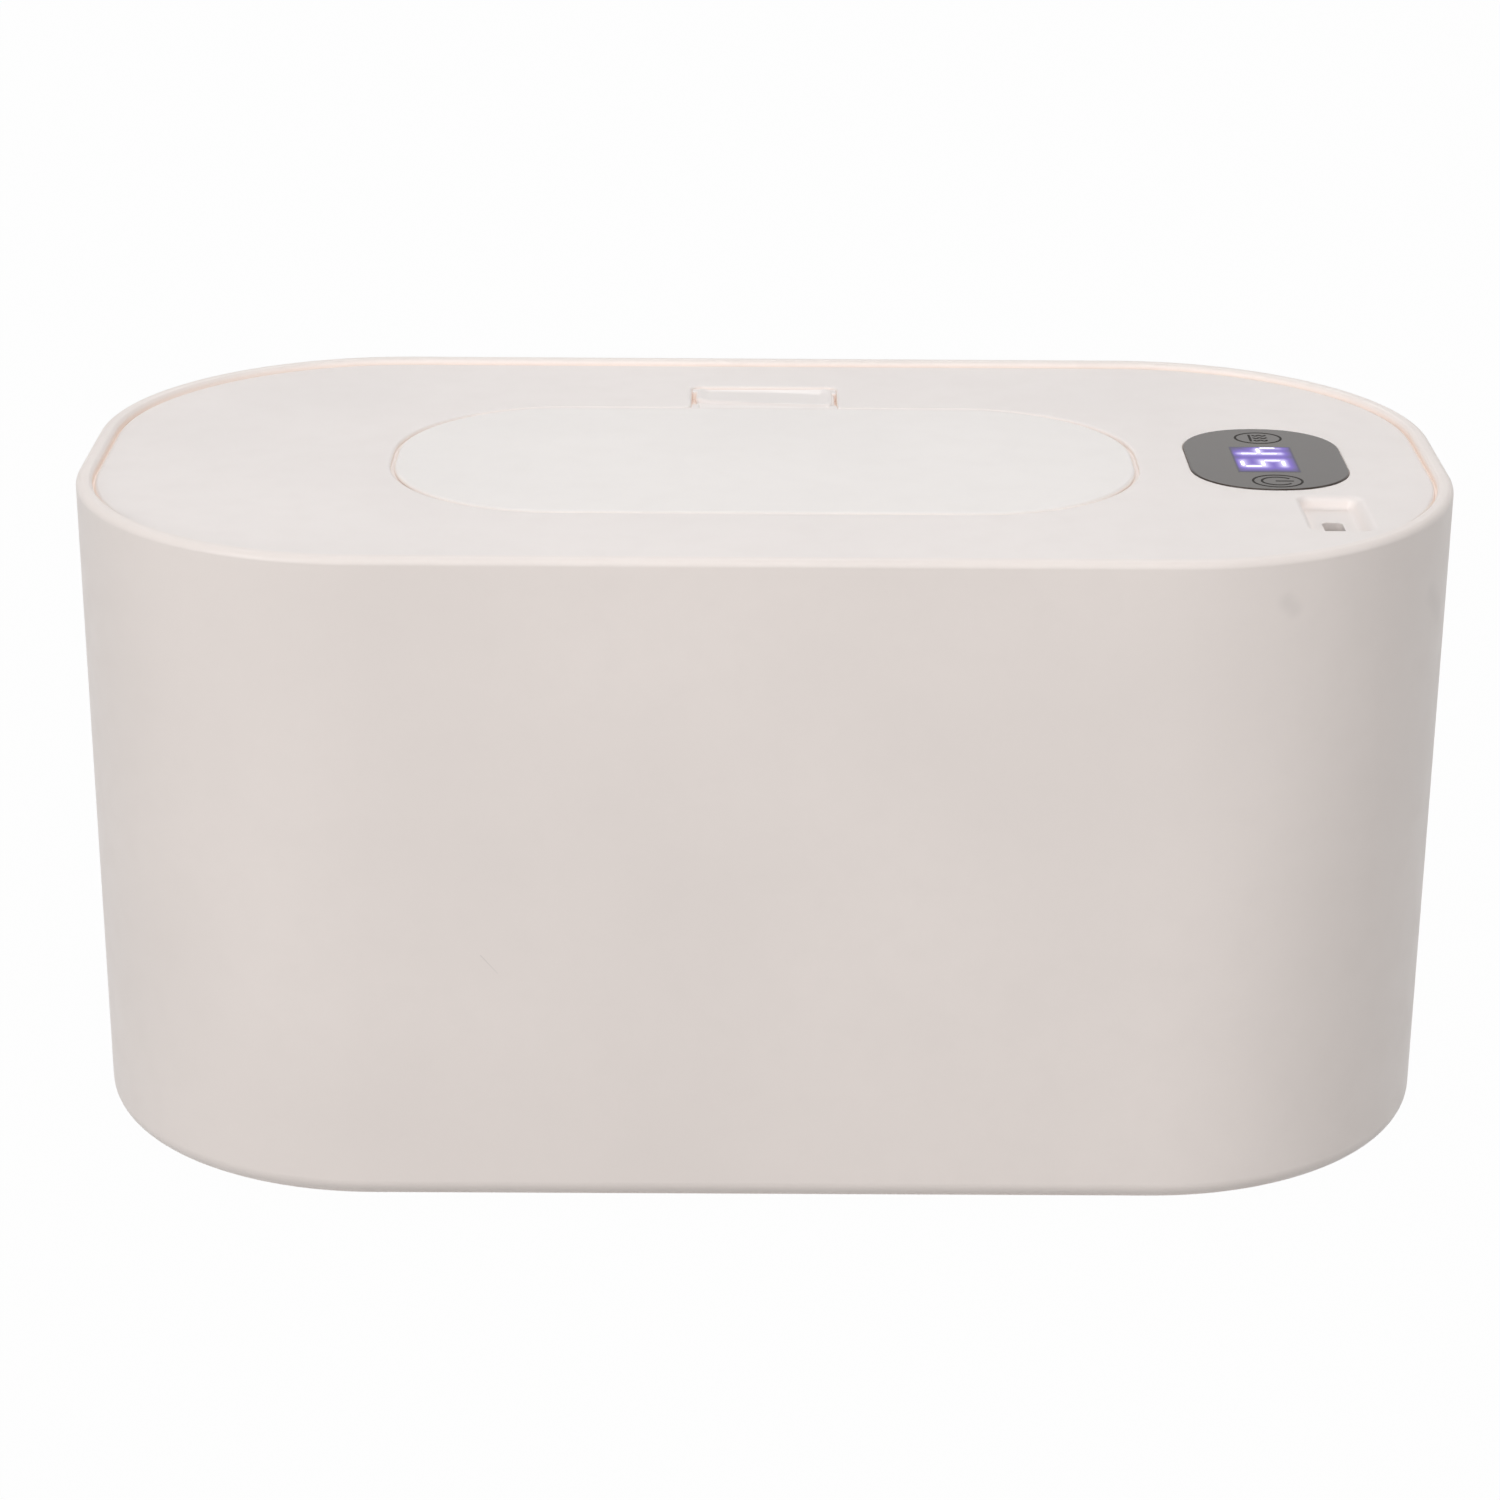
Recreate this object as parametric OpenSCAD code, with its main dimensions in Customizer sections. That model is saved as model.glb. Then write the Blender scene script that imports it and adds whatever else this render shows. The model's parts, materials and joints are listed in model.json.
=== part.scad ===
// Baby wipe warmer: a deep rounded case with an inner tub, and a lift-off lid that holds
// the heating plate, the control board and a sprung flap over the dispensing opening.
// X runs along the long side, +Y points to the back and Z points up from the table.

/* [Case] */
// Width of the case at its rim
case_w = 205; // [190:1:230]
// Depth of the case at its rim
case_d = 110; // [106:1:130]
// Height of the case without its feet
case_h = 99.5; // [90:0.5:120]
// Plan radius of the four upright corners
corner_r = 45; // [42:1:50]
// Thickness of the wall at the rim
wall = 2.4; // [2.2:0.1:3]
// Lean of the outer wall, in degrees
draft = 0.45; // [0.2:0.05:0.6]
// Radius of the outer bottom edge
bottom_r = 3; // [2:0.5:4]
// Height of the feet below the case
foot_h = 1; // [0.8:0.1:2]

/* [Tub] */
// Air gap between the case and the inner tub
air_gap = 2; // [1.6:0.1:2.4]
// Thickness of the inner tub's wall
tub_wall = 1.5; // [1.2:0.1:2]

/* [Lid] */
// Drop of the lid's top below the rim
lid_drop = 0.8; // [0.4:0.1:1.2]
// Gap all round between the lid and the case
lid_gap = 0.35; // [0.3:0.05:0.5]
// Height of the lid's skirt and base together
lid_h = 21; // [21:0.5:24]
// Thickness of the lid's top wall
top_t = 1.8; // [1.8:0.1:2]
// Thickness of the skirt, the well and the base walls
shell_t = 1.6; // [1.4:0.1:1.8]

/* [Flap] */
// Width of the flap
flap_w = 111.6; // [108:0.2:114]
// Depth of the flap
flap_d = 55.8; // [54:0.2:56]
// Corner radius of the flap
flap_r = 25; // [22:0.5:26]
// Gap between the flap and the lid
flap_gap = 0.6; // [0.5:0.05:0.8]
// Distance from the flap's front edge out to the hinge pin
hinge_out = 5.6; // [5.6:0.1:6]
// Depth of the hinge pin below the lid's top
hinge_drop = 3.8; // [3.8:0.1:4]
// Length of the dispensing opening
mouth_w = 64; // [56:1:66]
// Width of the dispensing opening
mouth_d = 20; // [16:1:22]

/* [Latch] */
// Width of the push button
button_w = 21.8; // [20:0.2:22]
// Length of the push button from front to back
button_l = 11.2; // [10.6:0.2:11.2]

/* [Display and inlet] */
// Distance of the display's centre to the right of the middle
display_x = 76.0; // [75:0.2:77]
// Width of the display film
film_w = 23.8; // [23:0.2:25]
// Radius of the film's round front and back edges
film_r = 16.3; // [15.5:0.1:16.5]
// Length of the power inlet's recess
inlet_l = 16.5; // [15:0.5:17]
// Width of the power inlet's recess
inlet_w = 9.4; // [9:0.2:10]
// Depth of the power inlet's recess
inlet_deep = 2.4; // [2:0.1:3]

/* [Hidden] */
$fn = 96;
eps = 0.01;
rim_z = foot_h + case_h;
lid_z = rim_z - lid_drop;
under_z = lid_z - top_t;
floor_t = 2.4;
rim_r = 1.1;

// Lid outline, and the base that closes it from below
lid_w = case_w - 2 * (wall + lid_gap);
lid_d = case_d - 2 * (wall + lid_gap);
lid_r = corner_r - wall - lid_gap;
base_t = 2;
base_z = lid_z - lid_h;
skirt_z = base_z + base_t;

// Tub, with its flange just below the lid's seal
seal_gap = 0.5;
flange_z = base_z - seal_gap;
flange_t = 1.5;
tub_w = case_w - 2 * (wall + air_gap + 0.8);
tub_d = case_d - 2 * (wall + air_gap + 0.8);
tub_r = corner_r - wall - air_gap - 0.8;
tub_z = 5;
rib_t = 2;

// Flap, well and hinge
flap_y = -1.5;
flap_front = flap_y - flap_d / 2;
flap_back = flap_y + flap_d / 2;
flap_t = 2.2;
flap_lip = 0.6;
flap_step = 1.6;
opening_w = flap_w + 2 * flap_gap;
opening_d = flap_d + 2 * flap_gap;
opening_r = flap_r + flap_gap;
well_z = lid_z - 13.6;
mouth_y = 2;
neck_t = 1.6;
neck_z = base_z - 1.1;
pin_y = flap_front - hinge_out;
pin_z = lid_z - hinge_drop;
pin_r = 0.75;
running = 0.05;
hinge_half = 27;
arm_w = 5;
arm_x = 20;
arm_in = 6.7;
arm_out = 8.7;
knuckle_r = 1.6;
hinge_front = pin_y - 3.4;
spring_wire = 0.6;
curl_steps = 8;
wire_sides = 6;

// Latch
notch_w = button_w + 1.4;
notch_back = 39.6;
button_back = notch_back - 0.6;
hook_y = 30.6;
hook_z = lid_z - 9.5;
hook_half = 3;
foot_y = hook_y + 6;
hook_pin_half = 5.6;

// Heating stack below the lid's base, from the aluminium plate up to the roof
plate_w = 166;
plate_d = 76;
plate_r = 32;
plate_z = base_z - 0.8;
plate_t = 1.2;
film_z = plate_z + plate_t;
heat_film_t = 0.4;
foam_z = film_z + heat_film_t;
foam_t = 3;
roof_z = foam_z + foam_t;
roof_t = 1.4;
hole_w = mouth_w + 2 * neck_t + 0.6;
hole_d = mouth_d + 2 * neck_t + 0.6;

// Display, inlet and board
display_y = -0.6;
film_side_r = 10.6;
film_recess = 0.9;
film_t = 1.2;
window_w = 8.9;
window_l = 12.8;
window_x = 75.8;
key_y = [11.4, -11.9];
key_x = [76.1, 76.6];
inlet_x = 83;
inlet_y = -28.25;
socket_x = 82.8;
socket_y = -30.9;
board_x = 77.5;
board_y = -9;
board_w = 21;
board_l = 54;
board_t = 1.6;
board_z = lid_z - 9.7;
board_top = board_z + board_t;
plug_x = 77;
plug_y = [-4, 8];
plug_half = [0.95, 0.75];
plug_bore = [0.8, 0.6];

// Screw places
lid_screw_at = [[35, 45.5], [-35, 45.5], [35, -45.5], [-35, -45.5], [92.5, 6], [-92.5, 6]];
well_screw_at = [[62.5, 14], [-62.5, 14], [62.5, -14], [-62.5, -14]];
board_screw_at = [[70, -34], [70, 16], [86, 16]];
plate_screw_at = [[72, 20], [-72, 20], [72, -20], [-72, -20]];
foot_at = [[68, 30], [-68, 30], [68, -30], [-68, -30]];

// A rounded rectangle in plan
module rounded(w, d, r) {
    square([w - 2 * r, d], center = true);
    square([w, d - 2 * r], center = true);
    for (x = [-1, 1], y = [-1, 1])
        translate([x * (w / 2 - r), y * (d / 2 - r)]) circle(r);
}

// A straight run with two half-round ends
module stadium(w, d) {
    square([w - d, d], center = true);
    for (x = [-1, 1])
        translate([x * (w - d) / 2, 0]) circle(d = d);
}

module rounded_slab(w, d, r, z, h) {
    translate([0, 0, z]) linear_extrude(h) rounded(w, d, r);
}

// A flat ring between two stadiums
module stadium_ring(w, d, t, z, h) {
    translate([0, mouth_y, z]) linear_extrude(h)
        difference() {
            stadium(w, d);
            stadium(w - 2 * t, d - 2 * t);
        }
}

// An outline drawn in Y and Z, carried along X from x to x + w
module along_x(x, w) {
    translate([x, 0, 0]) rotate([90, 0, 90]) linear_extrude(w) children();
}

module block(x, y, z) {
    translate([x[0], y[0], z[0]]) cube([x[1] - x[0], y[1] - y[0], z[1] - z[0]]);
}

module post(at, r, z0, z1) {
    translate([at[0], at[1], z0]) cylinder(r = r, h = z1 - z0);
}

// Points of an arc about c, from angle a to angle b
function arc(c, r, a, b, n = 16) =
    [for (k = [0:n]) c + r * [cos(a + (b - a) * k / n), sin(a + (b - a) * k / n)]];

// The display's outline: two large arcs joined by small ones, with straight sides
module display_outline(grow = 0) {
    side_x = film_w / 2 - film_side_r;
    side_y = sqrt(pow(film_r - film_side_r, 2) - pow(side_x, 2));
    turn = atan2(side_y, side_x);
    big = film_r + grow;
    small = film_side_r + grow;
    translate([display_x, display_y])
        polygon(concat(
            arc([side_x, side_y], small, 0, turn, 8),
            arc([0, 0], big, turn, 180 - turn, 24),
            arc([-side_x, side_y], small, 180 - turn, 180, 8),
            arc([-side_x, -side_y], small, 180, 180 + turn, 8),
            arc([0, 0], big, 180 + turn, 360 - turn, 24),
            arc([side_x, -side_y], small, 360 - turn, 360, 8)));
}

// A point on a smooth curve through the route's points p, between p[i] and p[i + 1]
function on_curve(p, i, t) =
    let (last = len(p) - 1,
        a = p[max(i - 1, 0)], b = p[i], c = p[i + 1], d = p[min(i + 2, last)])
    0.5 * (2 * b + (c - a) * t + (2 * a - 5 * b + 4 * c - d) * t * t
        + (3 * b - a - 3 * c + d) * t * t * t);

function smooth(p, n) =
    concat([for (i = [0:len(p) - 2], k = [0:n - 1]) on_curve(p, i, k / n)], [p[len(p) - 1]]);

function unit(v) = v / norm(v);

// Each ring stands square to the run, with its first point turned towards the helper direction
function ring_points(p, i, r, sides, helper) =
    let (run = unit(p[min(i + 1, len(p) - 1)] - p[max(i - 1, 0)]),
        u = unit(cross(run, helper)),
        v = cross(run, u))
    [for (k = [0:sides - 1]) p[i] + r * (cos(360 * k / sides) * u + sin(360 * k / sides) * v)];

// Least gap between turns of a wire of radius r, over points most of a curl apart or more
function least_gap(p, r) =
    min([for (i = [0:len(p) - 1], j = [i + curl_steps - 2:1:len(p) - 1]) norm(p[i] - p[j])]) - 2 * r;

// A round wire carried along the points p
module wire(p, r, helper = [0, 0, 1], sides = wire_sides) {
    rings = len(p);
    points = [for (i = [0:rings - 1], q = ring_points(p, i, r, sides, helper)) q];
    around = [for (i = [0:rings - 2], k = [0:sides - 1], h = [0:1])
        let (a = i * sides + k, b = i * sides + (k + 1) % sides)
        h == 0 ? [a, a + sides, b] : [b, a + sides, b + sides]];
    near_cap = [for (k = [1:sides - 2]) [0, k, k + 1]];
    far = (rings - 1) * sides;
    far_cap = [for (k = [1:sides - 2]) [far, far + k + 1, far + k]];
    polyhedron(points = points, faces = concat(around, near_cap, far_cap), convexity = 8);
}

// One upright corner of the case: its wall leans in towards the bottom edge
module case_corner() {
    lean = tan(draft);
    low = corner_r - (case_h - bottom_r) * lean;
    rotate_extrude($fn = 96)
        polygon(concat(
            [[0, 0]],
            arc([low - bottom_r, bottom_r], bottom_r, -90, 0, 8),
            arc([corner_r - rim_r, case_h - rim_r], rim_r, 0, 90, 6),
            [[0, case_h]]));
}

module outer_case() {
    color([0.92, 0.89, 0.87])
    union() {
        difference() {
            translate([0, 0, foot_h])
                hull()
                    for (x = [-1, 1], y = [-1, 1])
                        translate([x * (case_w / 2 - corner_r), y * (case_d / 2 - corner_r), 0])
                            case_corner();
            rounded_slab(case_w - 2 * wall, case_d - 2 * wall, corner_r - wall,
                foot_h + floor_t, case_h);
            for (at = foot_at)
                post(at, 5.2, 0, foot_h + 0.8);
        }
        // Ribs inside the wall carry the tub's flange
        for (x = [-52, 0, 52], side = [-1, 1])
            block([x - rib_t / 2, x + rib_t / 2],
                side > 0 ? [tub_d / 2 + 0.3, case_d / 2 - wall + eps]
                    : [-case_d / 2 + wall - eps, -tub_d / 2 - 0.3],
                [foot_h + floor_t - eps, flange_z - flange_t]);
        for (side = [-1, 1])
            block(side > 0 ? [tub_w / 2 + 0.3, case_w / 2 - wall + eps]
                    : [-case_w / 2 + wall - eps, -tub_w / 2 - 0.3],
                [-rib_t / 2, rib_t / 2],
                [foot_h + floor_t - eps, flange_z - flange_t]);
    }
}

module inner_tub() {
    color([0.95, 0.94, 0.92])
    difference() {
        union() {
            rounded_slab(tub_w, tub_d, tub_r, tub_z, flange_z - tub_z);
            rounded_slab(case_w - 2 * wall - 0.6, case_d - 2 * wall - 0.6,
                corner_r - wall - 0.3, flange_z - flange_t, flange_t);
        }
        rounded_slab(tub_w - 2 * tub_wall, tub_d - 2 * tub_wall, tub_r - tub_wall,
            tub_z + tub_wall, case_h);
    }
}

module rubber_feet() {
    color([0.82, 0.82, 0.80])
    for (at = foot_at)
        post(at, 5, 0, foot_h + 0.8);
}

module lid_cover() {
    boss_r = 3;
    color([0.93, 0.90, 0.88])
    difference() {
        union() {
            difference() {
                rounded_slab(lid_w, lid_d, lid_r, skirt_z, lid_z - skirt_z);
                rounded_slab(lid_w - 2 * shell_t, lid_d - 2 * shell_t, lid_r - shell_t,
                    skirt_z - eps, under_z - skirt_z + eps);
            }
            // Pocket wall under the power inlet
            translate([inlet_x, inlet_y, lid_z - inlet_deep - shell_t])
                linear_extrude(inlet_deep)
                    rounded(inlet_w + 2 * shell_t, inlet_l + 2 * shell_t, 3.4);
            for (at = lid_screw_at)
                post(at, boss_r, skirt_z, under_z + eps);
            for (at = well_screw_at)
                post(at, boss_r, well_z + 0.4, under_z + eps);
            for (at = board_screw_at)
                post(at, 2.4, board_top, under_z + eps);
        }
        // Opening for the flap and the notch for the button
        translate([0, flap_y, under_z - 1])
            linear_extrude(top_t + 2) rounded(opening_w, opening_d, opening_r);
        translate([0, 0, under_z - 1])
            linear_extrude(top_t + 2) notch_outline();
        // Recess for the film, and the window for the digits
        translate([0, 0, lid_z - film_recess])
            linear_extrude(film_recess + 1) display_outline(0.25);
        translate([window_x, 0, under_z - 1])
            linear_extrude(top_t + 2) square([window_w + 0.6, window_l + 0.6], center = true);
        // Recess and slot for the power plug
        translate([inlet_x, inlet_y, lid_z - inlet_deep])
            linear_extrude(inlet_deep + 1) rounded(inlet_w, inlet_l, 1.8);
        translate([socket_x, socket_y, lid_z - inlet_deep - 3])
            linear_extrude(4) rotate(90) stadium(9.3, 3.6);
        for (at = lid_screw_at)
            post(at, 1.25, skirt_z - 1, skirt_z + 9);
        for (at = well_screw_at)
            post(at, 1.25, well_z - 1, well_z + 8);
        for (at = board_screw_at)
            post(at, 1.05, board_top - 1, board_top + 5);
    }
}

module notch_outline(grow = 0) {
    r = 1.6;
    half = notch_w / 2 + grow;
    square_front = flap_back - 2;
    translate([0, (square_front + notch_back + grow) / 2])
        rounded(2 * half, notch_back + grow - square_front, r);
}

// The tub under the flap: a floor with the dispensing mouth, a pocket for the hinge and one for
// the latch
module dispenser_well() {
    z0 = well_z - shell_t;
    color([0.91, 0.88, 0.86])
    difference() {
        union() {
            translate([0, flap_y, z0]) linear_extrude(under_z - z0)
                rounded(opening_w + 2 * shell_t, opening_d + 2 * shell_t, opening_r + shell_t);
            translate([0, 0, z0]) linear_extrude(under_z - z0) notch_outline(shell_t);
            block([-hinge_half - shell_t, hinge_half + shell_t],
                [hinge_front - shell_t, flap_front + 2], [z0, under_z]);
            for (at = well_screw_at) {
                post(at, 3.4, z0, well_z + 0.4);
                block([min(at[0], at[0] * 0.88), max(at[0], at[0] * 0.88)],
                    [at[1] - 2.5, at[1] + 2.5], [z0, well_z + 0.4]);
            }
            // Neck down through the base to the wipes
            translate([0, mouth_y, neck_z]) linear_extrude(z0 - neck_z + eps)
                stadium(mouth_w + 2 * neck_t, mouth_d + 2 * neck_t);
        }
        difference() {
            union() {
                translate([0, flap_y, well_z]) linear_extrude(case_h)
                    rounded(opening_w, opening_d, opening_r);
                translate([0, 0, well_z]) linear_extrude(case_h) notch_outline();
                block([-hinge_half, hinge_half], [hinge_front, flap_front + 2], [well_z, case_h]);
            }
            // Raised lip that the flap's seal comes down on
            stadium_ring(mouth_w + 10, mouth_d + 10, 5, well_z - 1, 2.5);
            hook_lugs();
        }
        translate([0, mouth_y, neck_z - 1]) linear_extrude(case_h) stadium(mouth_w, mouth_d);
        for (at = well_screw_at) {
            post(at, 1.4, z0 - 1, well_z + 1);
            post(at, 2.5, z0 - 1, z0 + 0.9);
        }
        along_x(-hinge_half - 1, 2 * hinge_half + 2)
            translate([pin_y, pin_z]) circle(r = pin_r + 0.02, $fn = 32);
        along_x(-hook_pin_half, 2 * hook_pin_half)
            translate([hook_y, hook_z]) circle(r = pin_r + 0.02, $fn = 32);
    }
}

// Two lugs on the pocket's floor hold the hook's pin
module hook_lugs() {
    for (x = [-hook_pin_half - 0.4, hook_half + 0.3])
        along_x(x, hook_pin_half + 0.4 - hook_half - 0.3) {
            translate([hook_y, hook_z]) circle(r = 2, $fn = 48);
            translate([hook_y - 2, well_z - 1]) square([4, hook_z - well_z + 1]);
        }
}

module lid_base() {
    color([0.90, 0.88, 0.85])
    difference() {
        union() {
            rounded_slab(lid_w, lid_d, lid_r, base_z, base_t);
            // Rib that locates the base inside the skirt
            rounded_slab(lid_w - 2 * shell_t - 0.4, lid_d - 2 * shell_t - 0.4,
                lid_r - shell_t - 0.2, skirt_z - eps, 1.5);
            rounded_slab(plate_w + 2 * roof_t, plate_d + 2 * roof_t, plate_r + roof_t,
                base_z, roof_z + roof_t - base_z);
        }
        difference() {
            rounded_slab(lid_w - 2 * shell_t - 3.6, lid_d - 2 * shell_t - 3.6,
                lid_r - shell_t - 1.8, skirt_z, 4);
            rounded_slab(plate_w + 2 * roof_t, plate_d + 2 * roof_t, plate_r + roof_t,
                skirt_z - 1, 8);
        }
        rounded_slab(plate_w + 0.4, plate_d + 0.4, plate_r + 0.2, base_z - 1, roof_z - base_z + 1);
        translate([0, mouth_y, base_z]) linear_extrude(20) stadium(hole_w, hole_d);
        // Groove for the seal
        difference() {
            rounded_slab(lid_w - 2.4, lid_d - 2.4, lid_r - 1.2, base_z - 1, 2.2);
            rounded_slab(lid_w - 7.8, lid_d - 7.8, lid_r - 3.9, base_z - 2, 4);
        }
        for (at = lid_screw_at) {
            post(at, 1.4, base_z - 1, skirt_z + 5);
            post(at, 2.5, base_z - 1, base_z + 1);
            post(at, 3.2, skirt_z, skirt_z + 5);
        }
        for (at = plate_screw_at)
            post(at, 1.05, roof_z - 1, roof_z + 5);
        // Hole for the wires
        post([70, 0], 3, roof_z - 1, roof_z + 5);
    }
}

module lid_seal() {
    color([0.80, 0.80, 0.79])
    difference() {
        rounded_slab(lid_w - 2.8, lid_d - 2.8, lid_r - 1.4, flange_z, 1.7);
        rounded_slab(lid_w - 7.4, lid_d - 7.4, lid_r - 3.7, flange_z - 1, 4);
    }
}

// A sheet with the dispensing hole, for the plate, the film and the pad
module heater_layer(inset, z, t) {
    translate([0, 0, z]) linear_extrude(t)
        difference() {
            rounded(plate_w - 2 * inset, plate_d - 2 * inset, plate_r - inset);
            translate([0, mouth_y]) stadium(hole_w + 2 * inset, hole_d + 2 * inset);
        }
}

module heating_plate() {
    color([0.78, 0.79, 0.80])
    difference() {
        heater_layer(0, plate_z, plate_t);
        for (at = plate_screw_at)
            post(at, 1.3, plate_z - 1, plate_z + 3);
    }
}

module heater_film() {
    color([0.80, 0.50, 0.20])
    difference() {
        heater_layer(1.5, film_z, heat_film_t);
        for (at = plate_screw_at)
            post(at, 2.5, film_z - 1, film_z + 3);
    }
}

module insulation_pad() {
    color([0.55, 0.55, 0.56])
    difference() {
        heater_layer(1.5, foam_z, foam_t);
        for (at = plate_screw_at)
            post(at, 2.5, foam_z - 1, foam_z + 5);
        block([28, 42], [24, 30], [foam_z - 1, foam_z + 5]);
        block([-34, -26], [24, 30], [foam_z - 1, foam_z + 5]);
        post([70, 0], 4, foam_z - 1, foam_z + 5);
    }
}

module thermal_fuse() {
    color([0.30, 0.30, 0.32])
    along_x(30, 10)
        translate([27, foam_z + 1.35]) circle(r = 1.25, $fn = 32);
}

module temperature_sensor() {
    color([0.15, 0.35, 0.20])
    translate([-30, 27, foam_z + 1.35]) sphere(r = 1.25, $fn = 32);
}

module control_board() {
    color([0.10, 0.38, 0.22])
    difference() {
        block([board_x - board_w / 2, board_x + board_w / 2],
            [board_y - board_l / 2, board_y + board_l / 2], [board_z, board_top]);
        for (at = board_screw_at)
            post(at, 1.2, board_z - 1, board_top + 1);
    }
}

module digit_display() {
    color([0.18, 0.17, 0.20])
    block([window_x - 5, window_x + 5], [-7.5, 7.5], [board_top, under_z - 0.2]);
}

// A spring's turns about Z, rising from z0 to z1 at radius r
function coil(r, turns, z0, z1) =
    [for (k = [0:turns * curl_steps])
        let (a = 360 * k / curl_steps)
        [r * cos(a), r * sin(a), z0 + (z1 - z0) * k / (turns * curl_steps)]];

module touch_springs() {
    wire_r = 0.25;
    turns = coil(2.6, 5, board_top + 0.3, under_z - 0.3);
    echo(touch_springs_gap = least_gap(turns, wire_r));
    color([0.75, 0.76, 0.78])
    for (i = [0, 1])
        translate([key_x[i], key_y[i], 0]) wire(turns, wire_r);
}

module usb_socket() {
    z1 = lid_z - inlet_deep - 0.3;
    color([0.74, 0.75, 0.77])
    translate([socket_x, socket_y, 0]) {
        difference() {
            translate([0, 0, board_top]) linear_extrude(z1 - board_top)
                rotate(90) stadium(8.9, 3.2);
            translate([0, 0, z1 - 4.2]) linear_extrude(5)
                rotate(90) stadium(8.3, 2.6);
        }
        block([-0.35, 0.35], [-3.3, 3.3], [z1 - 4.3, z1 - 0.8]);
    }
}

module control_chip() {
    color([0.10, 0.10, 0.11])
    block([72, 76], [-21, -11], [board_z - 1.6, board_z]);
}

module power_transistor() {
    color([0.12, 0.12, 0.13])
    block([79, 85.5], [-16, -9.5], [board_z - 2.3, board_z]);
}

module input_capacitor() {
    color([0.16, 0.18, 0.30])
    post([71.5, -27.5], 2.5, board_top, board_top + 5.4);
}

module wire_connectors() {
    color([0.93, 0.92, 0.88])
    for (i = [0, 1])
        difference() {
            block([plug_x - 3, plug_x + 3], [plug_y[i] - 3.5, plug_y[i] + 3.5],
                [board_z - 4, board_z]);
            for (side = [-plug_half[i], plug_half[i]])
                post([plug_x, plug_y[i] + side], plug_bore[i], board_z - 5, board_z - 3);
        }
}

// Wires from the connectors down through the base to the heating film and the sensors
module heater_wires() {
    z = board_z - 3.2;
    color([0.75, 0.15, 0.12])
    for (side = [-plug_half[0], plug_half[0]])
        wire(smooth([[plug_x, side + plug_y[0], z], [plug_x, side + plug_y[0], z - 1],
            [plug_x - 0.6, side + plug_y[0], z - 1.7], [74, side - 3, z - 1.9],
            [71.4, side - 1.6, z - 2.3], [70, side - 1.2, z - 4.4],
            [67.6, side - 1.2, foam_z + 0.8]], 3), 0.6, [0, 1, 0]);
}

module sensor_wires() {
    z = board_z - 3.2;
    color([0.90, 0.88, 0.82])
    for (side = [-plug_half[1], plug_half[1]])
        wire(smooth([[plug_x, side + plug_y[1], z], [plug_x, side + plug_y[1], z - 1],
            [plug_x - 0.6, side + plug_y[1], z - 1.6], [73.6 - 0.8 * side, 0.6 * side + 5, z - 1.8],
            [71.4 - 0.8 * side, 0.6 * side + 2, z - 2.4], [71.2 - 0.8 * side, 0.6 * side + 1.6, z - 4.6],
            [72.4 - 0.8 * side, 0.6 * side + 1.6, foam_z + 0.6]], 3), 0.4, [0, 1, 0]);
}

module display_film() {
    color([0.36, 0.36, 0.37])
    translate([0, 0, lid_z - film_recess]) linear_extrude(film_t) display_outline();
}

// A pan head below and a shank above, at each place in the list
module screws(at_list, z, head_r, head_h, shank_r, shank_h) {
    color([0.62, 0.63, 0.66])
    for (at = at_list)
        difference() {
            union() {
                post(at, head_r, z, z + head_h);
                post(at, shank_r, z + head_h - eps, z + head_h + shank_h);
            }
            translate([0, 0, z - eps]) {
                block([at[0] - 1.3, at[0] + 1.3], [at[1] - 0.25, at[1] + 0.25], [0, 0.6]);
                block([at[0] - 0.25, at[0] + 0.25], [at[1] - 1.3, at[1] + 1.3], [0, 0.6]);
            }
        }
}

module lid_screws() {
    screws(lid_screw_at, base_z - 0.2, 2.2, 1.2, 1.2, 8.5);
}

module well_screws() {
    screws(well_screw_at, well_z - shell_t - 0.4, 2.3, 1.3, 1.2, 7);
}

module board_screws() {
    screws(board_screw_at, board_z - 1.2, 2, 1.2, 1, 5.8);
}

module plate_screws() {
    screws(plate_screw_at, plate_z - 0.8, 2.2, 0.8, 1, 5.2);
}

module gooseneck() {
    translate([pin_y, pin_z])
        difference() {
            union() {
                circle(r = knuckle_r, $fn = 48);
                // Stem down from the knuckle
                rotate(-100) translate([0, -1.2]) square([arm_out - 0.4, 2.4]);
                // Curved arm that passes round the edge of the lid's opening
                difference() {
                    circle(arm_out);
                    circle(arm_in);
                    polygon([[0, 0], 20 * [cos(8), sin(8)], [20, 20], [-20, 20], [-20, -20],
                        20 * [cos(-103), sin(-103)]]);
                }
                translate([arm_in + 0.1, 0.6]) square([4, hinge_drop - flap_lip - 0.6]);
            }
            circle(r = pin_r + running, $fn = 48);
        }
}

module flap() {
    color([0.94, 0.91, 0.89])
    union() {
        translate([0, flap_y, 0]) {
            rounded_slab(flap_w, flap_d, flap_r, lid_z - flap_lip, flap_lip);
            rounded_slab(flap_w - 2 * flap_step, flap_d - 2 * flap_step, flap_r - flap_step,
                lid_z - flap_t, flap_t - 0.3);
        }
        for (x = [-arm_x - arm_w, arm_x])
            along_x(x, arm_w) gooseneck();
        // Wall that carries the seal round the dispensing mouth
        stadium_ring(mouth_w + 12, mouth_d + 12, 2, well_z + 3.9, lid_z - flap_t - well_z - 3.6);
        // Catch tab
        block([-4, 4], [23, 24.6], [lid_z - 8, lid_z - flap_t + 0.3]);
        along_x(-4, 8)
            polygon([[24.5, lid_z - 8], [25.2, lid_z - 8], [26, lid_z - 7.2],
                [26, lid_z - 6.9], [24.5, lid_z - 6.9]]);
    }
}

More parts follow.
